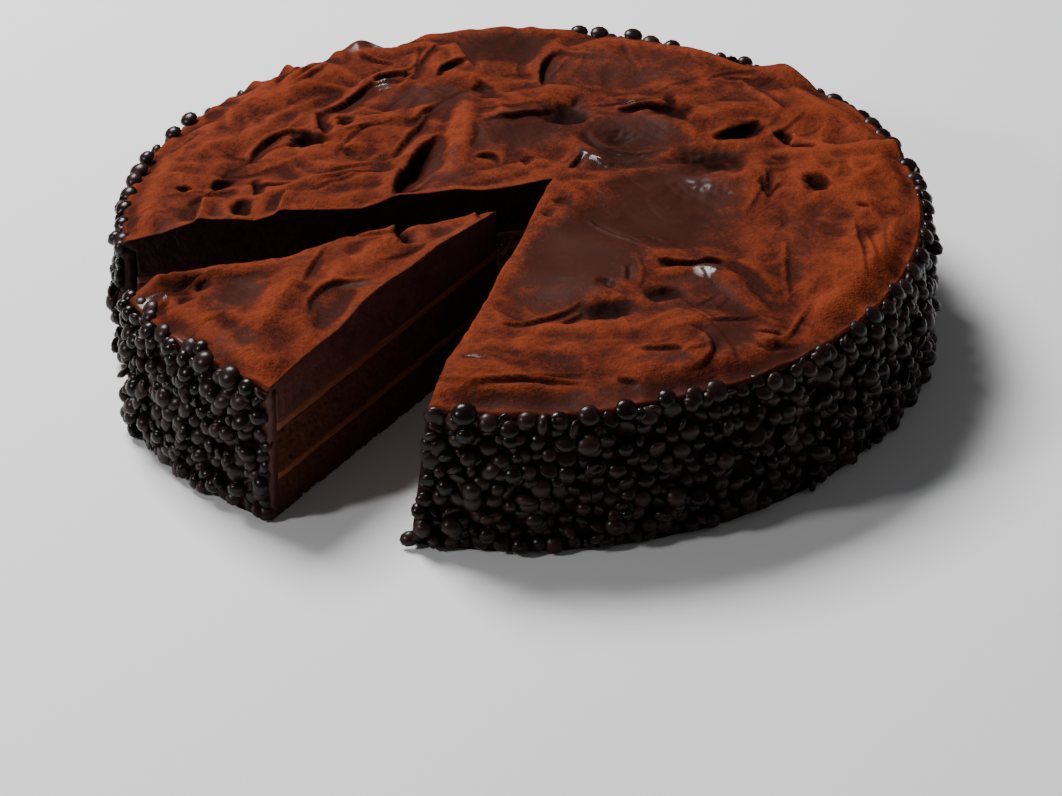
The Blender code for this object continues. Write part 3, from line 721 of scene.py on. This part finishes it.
def settleCocoa(mesh, dust, level, lip):
    # cocoa lies on what faces up and falls off the walls, though half of it stays on the rim's roll
    normals = np.empty(3 * len(dust))
    mesh.vertices.foreach_get("normal", normals)
    lying = evened(mesh, smoothStep((normals[2::3] - 0.52) / 0.36), 2)
    lying[lip] = np.maximum(lying[lip], 0.5)
    mesh.attributes["dust"].data.foreach_set("value", dust * lying)
    # painted shade: hollows are a little darker than crests
    hollowShade = np.clip((evened(mesh, level, 42) - level) / 0.5, -0.7, 1)
    mesh.attributes.new("hollowShade", "FLOAT", "POINT").data.foreach_set("value", hollowShade)


def makeIcing(name, finishes):
    # rows of points run from cut to cut, one for each share of the way from the tip to the rim
    portion, on = portions[name], icingOn[name]
    rim = sidePlace(portion, np.linspace(0, 1, 400), cake["rimRadius"], cake["rimHeight"])
    rimLength = np.linalg.norm(np.diff(np.stack(rim, -1), axis=0), axis=1).sum()
    shares = np.linspace(0, 1, round(cake["rimRadius"] / icing["spacing"]) + 1)
    counts = [max(1, round(share * rimLength / icing["spacing"])) for share in shares]
    around = [np.zeros(1)] + [np.linspace(0, 1, count + 1) for count in counts[1:]]
    share = np.concatenate([np.full(len(a), s) for a, s in zip(around, shares)])
    x, y = topPlace(portion, np.concatenate(around), share)
    z, crease = icingHeight(portion, on, smallStrokes(name), x, y)

    shell = Shell()
    numbers = iter(shell.add(x, y, z))
    rows = [[next(numbers) for _ in a] for a in around]
    for low, high in zip(rows, rows[1:]):
        shell.strip(low, high)
    lipRows = rollRim(shell, portion, rows[-1], around[-1])

    # the cuts' last columns stand a little inside the rim
    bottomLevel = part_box("cake_fudge_top")[0].z / mm
    inner = round(len(shares) * (1 - icing["underRim"] / cake["rimRadius"]))
    deep = round((cake["topLevel"] - bottomLevel) / icing["cutSpacing"])
    under = round(icing["underTop"] * deep)
    cuts = hangCuts(shell, portion, rows[:inner + 1], shares, np.arange(1, deep + 1) / deep)
    closeIcing(shell, portion, rimLength, shares[inner], cuts, lipRows, under)
    for side in (0, 1):
        topEdge = [row[-side] for row in rows[inner:] + lipRows[1:]]
        shell.face(topEdge + cuts[side][-1][under:0:-1], 1)

    bare, heap, gloss = (patchAt(on[kind], x, y) for kind in ("bare", "heaped", "glossy"))
    lip = slice(len(x), len(x) + sum(len(row) for row in lipRows[1:]))
    dust = np.full(len(shell.points), icing["cutDust"])
    dust[:len(x)] = 1 - bare
    dust[lip] = icing["lipDust"]
    attributes = {"dust": dust}
    for label, values in (("gloss", gloss), ("heap", heap), ("crease", crease)):
        attributes[label] = np.append(values, np.zeros(len(dust) - len(x)))
    piece = shell.make(name + "Icing", finishes, attributes)
    settleCocoa(piece.data, dust, np.array([point[2] for point in shell.points]), lip)
    place(piece, "fudge", name + "_fudge_top")


# relief is a list of sizes and heights of the bumps on a cut face; pores are small holes in the crumb
layerLooks = {
    "sponge": {
        "spacing": 0.5, "relief": [(4.5, 0.25), (2.1, 0.30), (0.9, 0.22)],
        "poreSize": 1.5, "poreDepth": 0.9, "bulge": 0.0, "wave": 0.25, "overlap": 0.15, "sideSteps": 5,
    },
    "filling": {
        "spacing": 0.6, "relief": [(6, 0.22), (2.0, 0.14)],
        "poreSize": 1.5, "poreDepth": 0.0, "bulge": 0.35, "wave": 0.35, "overlap": 0.2, "sideSteps": 5,
    },
}


def makeLayer(name, layer, finish):
    portion, look = portions[name], layerLooks[layer.split("_")[1]]
    low, high = (corner.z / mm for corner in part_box("cake_" + layer))
    steps = max(4, round((high - low) / look["spacing"]))
    levels = np.linspace(max(0, low - look["overlap"]), high + look["overlap"], steps + 1)
    shares = np.linspace(0, 1, round(cake["rimRadius"] / look["spacing"]) + 1)
    share, level = np.meshgrid(shares, levels, indexing="ij")

    shell = Shell()
    faces = []
    for side, outward in ((0, 1), (1, -1)):
        x, y = wedgePlace(portion, side, share, foodRadius(level), level)
        z = layerHeight(portion, level, x, y)
        spots = np.stack([x, y, z], -1).reshape(-1, 3)
        relief = sum(
            height * ripple(spots, size, 3 + i) for i, (size, height) in enumerate(look["relief"]))
        pores = smoothStep((ripple(spots, look["poreSize"], 9) - 0.25) / 0.3)
        relief = (relief - look["poreDepth"] * pores).reshape(x.shape)
        swing = math.pi * (level - levels[0]) / (levels[-1] - levels[0])
        relief += look["bulge"] * np.sin(swing) - 0.15
        relief *= smoothStep(share * 40) * smoothStep((1 - share) * 60 + 0.3)
        heading = cutHeadings(portion, level)[side]
        x = x + outward * np.sin(heading) * relief
        y = y - outward * np.cos(heading) * relief
        wave = look["wave"] * ripple(spots, 5, 12).reshape(x.shape)
        numbers = shell.add(x, y, z + wave * (level > 0))
        columns = [numbers[i * len(levels):(i + 1) * len(levels)] for i in range(len(shares))]
        if side:
            columns[0] = faces[0][0]
        faces.append(columns)
        shell.quads(columns)
    sideLength = math.radians(portion["lastCut"] - portion["firstCut"]) * cake["rimRadius"]
    partWay = np.linspace(0, 1, round(sideLength / look["sideSteps"]) + 1)[1:-1]
    rings = []
    for i, level in enumerate(levels):
        x, y = sidePlace(portion, partWay, foodRadius(level), level)
        middle = shell.add(x, y, layerHeight(portion, level, x, y))
        rings.append([faces[0][-1][i]] + middle + [faces[1][-1][i]])
    shell.quads(rings)
    for i in (0, -1):
        first, last = ([column[i] for column in columns] for columns in faces)
        shell.face(first + rings[i][1:-1] + last[:0:-1])
    piece = shell.make(name + layer.title().replace("_", ""), [finish])
    place(piece, layer.split("_")[1], f"{name}_{layer}")


coat = {"spacing": 1.6, "top": 40.4, "inset": 0.3, "unevenness": 0.5, "rows": 22}

drops = {
    "seed": 5, "radii": (1.9, 3.5), "typical": 2.8, "cover": 1.14, "top": 41.8,
    "rounds": 40, "tight": 0.92, "sunk": (-0.5, 1.9),
    "cornerRadius": 2.8, "cornerPitch": 5.9, "cornerInset": 0.4,
    "proudShare": 0.24, "proud": (1.6, 3.2), "proudHeights": (4, 38),
    "tilt": 0.85, "turnedShare": 0.25, "flatShare": 0.5, "backRadii": (2.8, 3.3),
    "segments": 10, "rings": 6, "dome": 0.80, "back": 0.42, "toneSeed": 3,
}
# drops on the rim: heading from the portion's middle, distance from it, height and size of the drop
rimDrops = {
    "cake": [
        (-98, 121, 43.0, 3.6), (-95, 121, 40.7, 2.9), (-92.3, 121, 39, 3.0), (-90, 121, 41.8, 2.7),
        (-86, 121, 41.3, 2.9), (-82.2, 121, 42.2, 3.4), (-77.4, 120.8, 42.6, 3.2),
        (-74.6, 121, 40, 3.1), (-71.8, 119.3, 43, 3.1), (-68, 119.8, 42.2, 3.1),
        (-64.8, 119.8, 42.2, 3.5), (-58, 121, 38.5, 3.1), (-54.5, 121, 38.4, 3.4),
        (-50.5, 121, 39.5, 3.1), (-47.5, 120.5, 41.6, 3.1), (-42.7, 121, 40, 3.0),
        (-40, 120.6, 42.4, 3.0), (-36, 120.4, 42.9, 3.1), (-32, 121, 41.5, 2.9),
        (-29, 120.4, 43.2, 3.2), (-26, 121, 41.6, 2.8), (-22, 120.6, 42.6, 3.0),
        (-17, 120.8, 41.8, 2.9), (-12, 120.6, 42.6, 3.1), (-8.5, 121, 41.4, 2.8),
        (-3, 120.8, 42.2, 3.0), (1, 121, 41.2, 2.9), (-105.4, 123.4, 2.6, 2.6),
    ],
    "slice": [
        (-150.4, 116.2, 42.4, 3.2), (-153, 117.5, 41.6, 3.0), (-148.5, 118.6, 42.6, 3.0),
        (-155.4, 118.6, 41.8, 2.9), (-145.5, 121, 38.6, 3.0), (-141.3, 121, 41.3, 3.1),
        (-138.2, 118.8, 43.0, 3.0), (-136.6, 117.4, 43.4, 2.8), (-134, 120.8, 42.8, 3.6),
        (-137, 122, 37.5, 3.2), (-129.3, 120.8, 41.9, 3.5), (-132.7, 122, 36.4, 3.2),
        (-127, 122, 37, 3.6), (-130, 122, 34.5, 3.1), (-127, 122.4, 30.5, 3.6), (-152, 121.8, 35, 3.4),
        (-144, 119.5, 42.4, 3.0), (-146.5, 121.4, 41.4, 2.9), (-126, 121.6, 41.6, 2.9),
        (-148, 122.6, 21, 3.5),
    ],
}
# drops that stand above the rim: heading from the cake's middle, height of the drop's middle
backDrops = [
    (80.8, 43.6), (77.5, 43.4), (72.0, 43.8), (69, 41.9), (65.4, 41.9), (52.6, 42.0), (152.5, 44.0),
    (157, 43.3), (166, 44.0), (169.5, 43.2), (172.3, 43.0), (176, 42.4), (180, 41.8), (184.5, 41.8),
    (189, 41.4), (27, 41.9), (24, 42.2), (20.5, 41.8), (17, 42.2), (10, 42.0), (6, 41.6), (34, 41.8),
]


def makeWall(name, finishes):
    portion = portions[name]
    rimLength = math.radians(portion["lastCut"] - portion["firstCut"]) * cake["coatRadiusAtBase"]
    partWay = np.linspace(0, 1, round(rimLength / coat["spacing"]) + 1)
    levels = np.linspace(0, coat["top"], coat["rows"] + 1)
    shell = Shell()
    outer, inner = [], []
    for z in levels:
        x, y = sidePlace(portion, partWay, coatRadius(z), z)
        bumps = coat["unevenness"] * ripple(np.stack([x, y, np.full_like(x, z)], -1), 4, 21)
        outer.append(shell.add(*sidePlace(portion, partWay, coatRadius(z) + bumps, z), z))
        inner.append(shell.add(*sidePlace(portion, partWay, foodRadius(z) + coat["inset"], z), z))
    # the icing shows along the cuts, where no drops stuck
    for start, end, finish in ((0, 3, 1), (2, -2, 0), (-3, None, 1)):
        shell.quads([row[start:end] for row in outer], finish)
    shell.quads(inner)
    shell.quads([outer[0], inner[0]])
    shell.quads([outer[-1], inner[-1]])
    for end in (0, -1):
        shell.face([row[end] for row in outer] + [row[end] for row in inner[::-1]], 1)
    piece = shell.make(name + "Coat", finishes)
    place(piece, "fudge", name + "_side_coat")


def packDrops(length, draw):
    # discs laid at random on the unrolled side and pushed apart until they lie side by side
    area = length * drops["top"]
    count = round(drops["cover"] * area / (math.pi * drops["typical"] ** 2))
    radius = draw.triangular(drops["radii"][0], drops["typical"], drops["radii"][1], count)
    along = draw.uniform(0, length, count)
    z = draw.uniform(0, drops["top"], count)
    cornerZ = np.arange(drops["cornerRadius"], drops["top"] - 1, drops["cornerPitch"])
    free = np.ones(count)
    for end in (0, 1):
        inset = drops["cornerRadius"] + drops["cornerInset"] + draw.uniform(-0.6, 0.6, len(cornerZ))
        along = np.append(along, end * length + (1 - 2 * end) * inset)
        z = np.append(z, cornerZ + draw.uniform(-0.5, 0.5, len(cornerZ)))
        radius = np.append(radius, np.full(len(cornerZ), drops["cornerRadius"]))
        free = np.append(free, np.zeros(len(cornerZ)))
    touching = drops["tight"] * (radius[:, None] + radius)
    for _ in range(drops["rounds"]):
        awayAlong, awayZ = along[:, None] - along, z[:, None] - z
        apart = np.hypot(awayAlong, awayZ) + 1e-6
        push = 0.5 * np.clip(touching - apart, 0, None) * (apart > 1e-5) / apart
        along += free * (push * awayAlong).sum(1)
        z += free * (push * awayZ).sum(1)
        along = np.clip(along, radius * 0.7, length - radius * 0.7)
        z = np.clip(z, radius, drops["top"] - radius * 0.55)
    return along, z, radius


def dropTree():
    # a domed drop on every point, turned to its facing and scaled to its size
    tree = bpy.data.node_groups.new("dropsOnPoints", "GeometryNodeTree")
    kinds = {
        "Points": "Geometry", "Segments": "Int", "Rings": "Int", "Dome": "Float", "Back": "Float",
        "Seed": "Int", "Finish": "Material",
    }
    for label, kind in kinds.items():
        tree.interface.new_socket(label, in_out="INPUT", socket_type="NodeSocket" + kind)
    tree.interface.new_socket("Drops", in_out="OUTPUT", socket_type="NodeSocketGeometry")
    g = Graph(tree)
    given = tree.nodes.new("NodeGroupInput")
    asked = {socket.name: Sock(g, socket) for socket in given.outputs}
    sphere = g.add("GeometryNodeMeshUVSphere", None, {
        "Segments": asked["Segments"], "Rings": asked["Rings"], "Radius": 1.0})
    where = g.add("ShaderNodeSeparateXYZ", None, {0: g.add("GeometryNodeInputPosition")})
    x, y, z = (Sock(g, socket) for socket in where.socket.node.outputs)
    above = z.maths("GREATER_THAN", z, 0.0)
    squeeze = above * asked["Dome"] + (1 - above) * asked["Back"]
    spread = 1 - z * z
    forms = []
    for height in (z * squeeze, (1 - spread * spread) * squeeze * 0.62 * (above * 2 - 1)):
        position = g.add("ShaderNodeCombineXYZ", None, {0: x, 1: y, 2: height})
        shaped = g.add("GeometryNodeSetPosition", None, {"Geometry": sphere, "Position": position})
        forms.append(g.add("GeometryNodeGeometryToInstance", None, {0: shaped}))
    both = g.add("GeometryNodeJoinGeometry", None, {0: forms[0]})
    g.join(forms[1], both.socket.node.inputs[0])
    pick = g.add("GeometryNodeInputNamedAttribute", {"data_type": "INT"}, {"Name": "flat"})
    stretch = g.add("FunctionNodeRandomValue", {"data_type": "FLOAT_VECTOR"}, {
        0: (0.9, 0.84, 0.8), 1: (1.06, 1.0, 1.15), "Seed": asked["Seed"]})
    facing = g.add("GeometryNodeInputNamedAttribute", {"data_type": "FLOAT_VECTOR"}, {"Name": "facing"})
    size = g.add("GeometryNodeInputNamedAttribute", {"data_type": "FLOAT"}, {"Name": "size"})
    turned = g.add("FunctionNodeAlignRotationToVector", {"axis": "Z"}, {"Vector": facing})
    scaled = g.add("ShaderNodeVectorMath", {"operation": "SCALE"}, {0: stretch, "Scale": size})
    placed = g.add("GeometryNodeInstanceOnPoints", None, {
        "Points": asked["Points"], "Instance": both, "Pick Instance": True, "Instance Index": pick,
        "Rotation": turned, "Scale": scaled})
    tone = g.add("FunctionNodeRandomValue", {"data_type": "FLOAT"}, {"Seed": asked["Seed"]}, output=1)
    toned = g.add("GeometryNodeStoreNamedAttribute", {"data_type": "FLOAT", "domain": "INSTANCE"}, {
        "Geometry": placed, "Name": "tone", "Value": tone})
    made = g.add("GeometryNodeRealizeInstances", None, {"Geometry": toned})
    smooth = g.add("GeometryNodeSetShadeSmooth", None, {"Geometry": made})
    finished = g.add("GeometryNodeSetMaterial", None, {"Geometry": smooth, "Material": asked["Finish"]})
    g.join(finished, tree.nodes.new("NodeGroupOutput").inputs[0])
    return tree


def grow(points, tree, **values):
    # runs a tree on an object and keeps the mesh it makes
    modifier = points.modifiers.new("grow", "NODES")
    modifier.node_group = tree
    for item in tree.interface.items_tree:
        if item.in_out == "INPUT" and item.name in values:
            modifier[item.identifier] = values[item.name]
    graph = bpy.context.evaluated_depsgraph_get()
    mesh = bpy.data.meshes.new_from_object(points.evaluated_get(graph))
    points.modifiers.remove(modifier)
    points.data = mesh


def makeDrops(name, tree, finish):
    portion = portions[name]
    draw = np.random.default_rng(drops["seed"])
    length = math.radians(portion["lastCut"] - portion["firstCut"]) * (cake["coatRadiusAtBase"] + 1)
    along, z, radius = packDrops(length, draw)
    out = draw.uniform(*drops["sunk"], len(along))
    # some lie on top of the others
    extra = round(drops["proudShare"] * len(along))
    along = np.append(along, draw.uniform(3, length - 3, extra))
    z = np.append(z, draw.uniform(*drops["proudHeights"], extra))
    radius = np.append(radius, draw.uniform(*drops["radii"], extra))
    out = np.append(out, draw.uniform(*drops["proud"], extra))
    x, y = sidePlace(portion, along / length, coatRadius(z) + out, z)
    # those on the rim and at the back were placed one by one
    degrees, reach, level, size = np.transpose(rimDrops[name])
    reach = reach * uneven(np.radians(degrees))
    x = np.append(x, portion["centre"][0] + reach * np.cos(np.radians(degrees)))
    y = np.append(y, portion["centre"][1] + reach * np.sin(np.radians(degrees)))
    z, radius = np.append(z, level), np.append(radius, size)
    if name == "cake":
        heading = np.radians([h for h, _ in backDrops])
        reach = (cake["coatRadiusAtTop"] + 0.3) * uneven(heading)
        x, y = np.append(x, reach * np.cos(heading)), np.append(y, reach * np.sin(heading))
        z = np.append(z, [level for _, level in backDrops])
        radius = np.append(radius, draw.uniform(*drops["backRadii"], len(backDrops)))

    away = np.arctan2(y - portion["centre"][1], x - portion["centre"][0])
    outward = np.stack([np.cos(away), np.sin(away), 0.15 + 0 * away], -1)
    turned = np.where(draw.uniform(0, 1, len(x)) < drops["turnedShare"], -1, 1)[:, None]
    # those placed one by one are seen whole, so they are the domed ones and lie true
    order = np.arange(len(x))
    atRandom = (order < len(along))[:, None]
    atBack = order >= len(along) + len(degrees)
    tilted = drops["tilt"] * draw.normal(0, 0.6, outward.shape) * atRandom
    facing = outward * np.where(atRandom, turned, 1) + tilted
    facing[:, 2] += 0.8 * ~(atRandom[:, 0] | atBack)
    facing[atBack] *= (0.4, 0, 0)
    facing[atBack] += (0, -0.45, 1)
    flat = (draw.uniform(0, 1, len(x)) < drops["flatShare"]) & atRandom[:, 0]

    mesh = bpy.data.meshes.new(name + "Drops")
    mesh.from_pydata((np.stack([x, y, z], -1) * mm).tolist(), [], [])
    mesh.attributes.new("size", "FLOAT", "POINT").data.foreach_set("value", radius * mm)
    mesh.attributes.new("facing", "FLOAT_VECTOR", "POINT").data.foreach_set("vector", facing.ravel())
    mesh.attributes.new("flat", "INT", "POINT").data.foreach_set("value", flat.astype(int))
    piece = addObject(name + "Drops", mesh)
    grow(piece, tree, Segments=drops["segments"], Rings=drops["rings"], Dome=drops["dome"],
         Back=drops["back"], Seed=drops["toneSeed"], Finish=finish)
    place(piece, "drops", name + "_side_coat")


def cocoaFinish():
    f = Finish("cocoaFudge", Specular_IOR_Level=0.036, Coat_Roughness=0.18)
    spot = f.spot()
    fine, speck, patchy, cloud = (f.grain(spot, size, 3, 0.6) for size in (0.7, 1.5, 5, 12))
    dust, gloss, heap, hollowShade, crease = (
        f.attribute(label) for label in ("dust", "gloss", "heap", "hollowShade", "crease"))
    # painted shade: hollows get less cocoa and a darker cocoa
    cover = dust * 1.1 + heap * 0.25 - hollowShade * 0.25
    cover = cover + (fine - 0.5) * 0.55 + (speck - 0.5) * 0.7 + (patchy - 0.5)
    cover = (cover.between(0.1, 1.1) * (1 - gloss)).clamped()
    thick = cloud * 0.7 + fine * 0.7 + speck * 0.8 + patchy * 0.7 + heap * 0.35 - hollowShade * 0.50 - 1.10
    cocoa = f.blend(thick.clamped(), (0.032, 0.0065, 0.0036), (0.165, 0.030, 0.0112))
    bare = f.blend(cloud, (0.025, 0.0060, 0.0036), (0.044, 0.0115, 0.0070))
    # painted shade: creases and pits darken to near black and lose their sheen
    colour = f.blend(crease * 0.92, f.blend(cover, bare, cocoa), (0.006, 0.0015, 0.0011))
    rough = cover * 0.35 + 0.52 + crease * 0.3 + (speck - 0.5) * 0.1
    height = (fine * 0.5 + speck * 0.7 + patchy * 0.5) * (dust.clamped() * 0.9 + 0.06)
    coat = (gloss * 0.35 + (1 - cover) * 0.004).clamped() * (1 - crease * 0.8)
    return f.feed(Base_Color=colour, Roughness=rough, Coat_Weight=coat, Normal=f.bumps(height, 0.65))


def shaded(shade, colour):
    # a colour darkened to stand for painted shade
    return [shade * c for c in colour]


def cutFudgeFinish(name, shade):
    f = Finish(name, Specular_IOR_Level=0.03 + 0.22 * shade)
    spot = f.spot()
    cloud, lump, fine = (f.grain(spot, size, 3) for size in (7, 2.6, 1.1))
    mottled = (cloud * 1.1 + lump * 1.3 - 0.7).clamped()
    dark, light = shaded(shade, (0.038, 0.0100, 0.0080)), shaded(shade, (0.105, 0.033, 0.025))
    height = fine * 0.2 + lump * 0.5 + cloud
    return f.feed(
        Base_Color=f.blend(mottled, dark, light), Roughness=0.42 + fine * 0.2,
        Normal=f.bumps(height, 0.9))


def spongeFinish():
    f = Finish("sponge", Roughness=0.85, Specular_IOR_Level=0.2)
    spot = f.spot()
    crumb, cloud = f.grain(spot, 1.3, 4, 0.6), f.grain(spot, 6, 2)
    light = (crumb * 0.8 + cloud * 0.5 - 0.15).clamped()
    colour = f.blend(light, (0.020, 0.006, 0.003), (0.110, 0.032, 0.012))
    return f.feed(Base_Color=colour, Normal=f.bumps(crumb, 0.5))


def fillingFinish(name, shade):
    f = Finish(name, Roughness=0.5, Specular_IOR_Level=0.35)
    cloud = f.grain(f.spot(), 3, 3)
    dark, light = shaded(shade, (0.13, 0.036, 0.012)), shaded(shade, (0.23, 0.070, 0.024))
    return f.feed(Base_Color=f.blend(cloud, dark, light), Normal=f.bumps(cloud, 0.3))


def dropFinish():
    f = Finish("chocolateDrops", Specular_IOR_Level=0.17)
    tone, cloud = f.attribute("tone"), f.grain(f.spot(), 1.5, 2)
    colour = f.blend(tone, (0.006, 0.0028, 0.0024), (0.022, 0.0085, 0.007))
    return f.feed(Base_Color=colour, Roughness=0.19 + tone * 0.12 + cloud * 0.1)


def sideIcingFinish():
    # the same all over
    colour = (0.014, 0.0035, 0.002, 1)
    return Finish("sideIcing", Base_Color=colour, Roughness=0.7, Specular_IOR_Level=0.04).material


stage = {
    "floorSize": 8.0, "floorDrop": 0.0002, "floorColour": (0.72, 0.72, 0.73), "aim": (0, 0, 0.02),
    "keyPlace": (-0.55, 0.62, 1.10), "keySize": 0.55, "keyPower": 40,
    "sidePlace": (-0.95, -0.40, 0.62), "sideSize": 0.12, "sidePower": 6,
    "fillPlace": (1.3, -0.35, 0.7), "fillSize": 0.9, "fillPower": 1.0,
    "worldColour": (0.93, 0.94, 0.96), "worldStrength": 0.10,
}


def softbox(name, where, size, power):
    light = bpy.data.lights.new(name, "AREA")
    light.shape = "SQUARE"
    light.size = size
    light.energy = power
    lamp = addObject(name, light)
    lamp.location = where
    lamp.rotation_euler = (Vector(stage["aim"]) - Vector(where)).to_track_quat("-Z", "Y").to_euler()


def makeStage():
    half = stage["floorSize"] / 2
    corners = [(-half, -half, 0), (half, -half, 0), (half, half, 0), (-half, half, 0)]
    mesh = bpy.data.meshes.new("floor")
    mesh.from_pydata(corners, [], [(0, 1, 2, 3)])
    floor = addObject("floor", mesh)
    colour = (*stage["floorColour"], 1)
    pale = Finish("paleFloor", Base_Color=colour, Roughness=0.75, Specular_IOR_Level=0.2)
    mesh.materials.append(pale.material)
    floor.location.z = -stage["floorDrop"]
    for name in ("key", "side", "fill"):
        softbox(name, stage[name + "Place"], stage[name + "Size"], stage[name + "Power"])
    world = bpy.data.worlds.new("studio")
    world.use_nodes = True
    background = world.node_tree.nodes["Background"]
    background.inputs["Color"].default_value = (*stage["worldColour"], 1)
    background.inputs["Strength"].default_value = stage["worldStrength"]
    bpy.context.scene.world = world


# the photograph is 1062 by 796; the lens is that of a 36 mm wide film
view = {
    "elevation": 30.66, "distance": 0.885, "roll": -0.013, "lens": 97.37,
    "shiftX": 0.00433, "shiftY": -0.0706, "filmWidth": 36,
}


def makeCamera():
    data = bpy.data.cameras.new("camera")
    data.sensor_width = view["filmWidth"]
    data.lens = view["lens"]
    data.shift_x, data.shift_y = view["shiftX"], view["shiftY"]
    data.clip_start, data.clip_end = 0.05, 50
    camera = addObject("camera", data)
    rise = math.radians(view["elevation"])
    camera.location = (0, -view["distance"] * math.cos(rise), view["distance"] * math.sin(rise))
    camera.rotation_euler = (math.pi / 2 - rise, 0, 0)
    camera.rotation_euler.rotate_axis("Z", view["roll"])
    bpy.context.scene.camera = camera


makeCamera()
makeStage()
print("stage ready")

cocoa = cocoaFinish()
# painted shade: the cake's own cut faces are a darker copy of the slice's, at a fifth of its brightness
cutFudge = {"cake": cutFudgeFinish("paintedShadeCutFudge", 0.2), "slice": cutFudgeFinish("cutFudge", 1.0)}
for name in portions:
    makeIcing(name, [cocoa, cutFudge[name]])
print("icing ready")

sponge = spongeFinish()
# painted shade: the cake's own filling is a darker copy of the slice's, at 0.3 of its brightness
fillings = {"cake": fillingFinish("paintedShadeFilling", 0.3), "slice": fillingFinish("filling", 1.0)}
for name in portions:
    for layer in ("lower_sponge", "lower_filling", "upper_sponge", "upper_filling"):
        makeLayer(name, layer, sponge if "sponge" in layer else fillings[name])
print("layers ready")

tree = dropTree()
chocolate = dropFinish()
sideIcing = sideIcingFinish()
for name in portions:
    makeWall(name, [sideIcing, cutFudge[name]])
    makeDrops(name, tree, chocolate)
print("side coat ready")
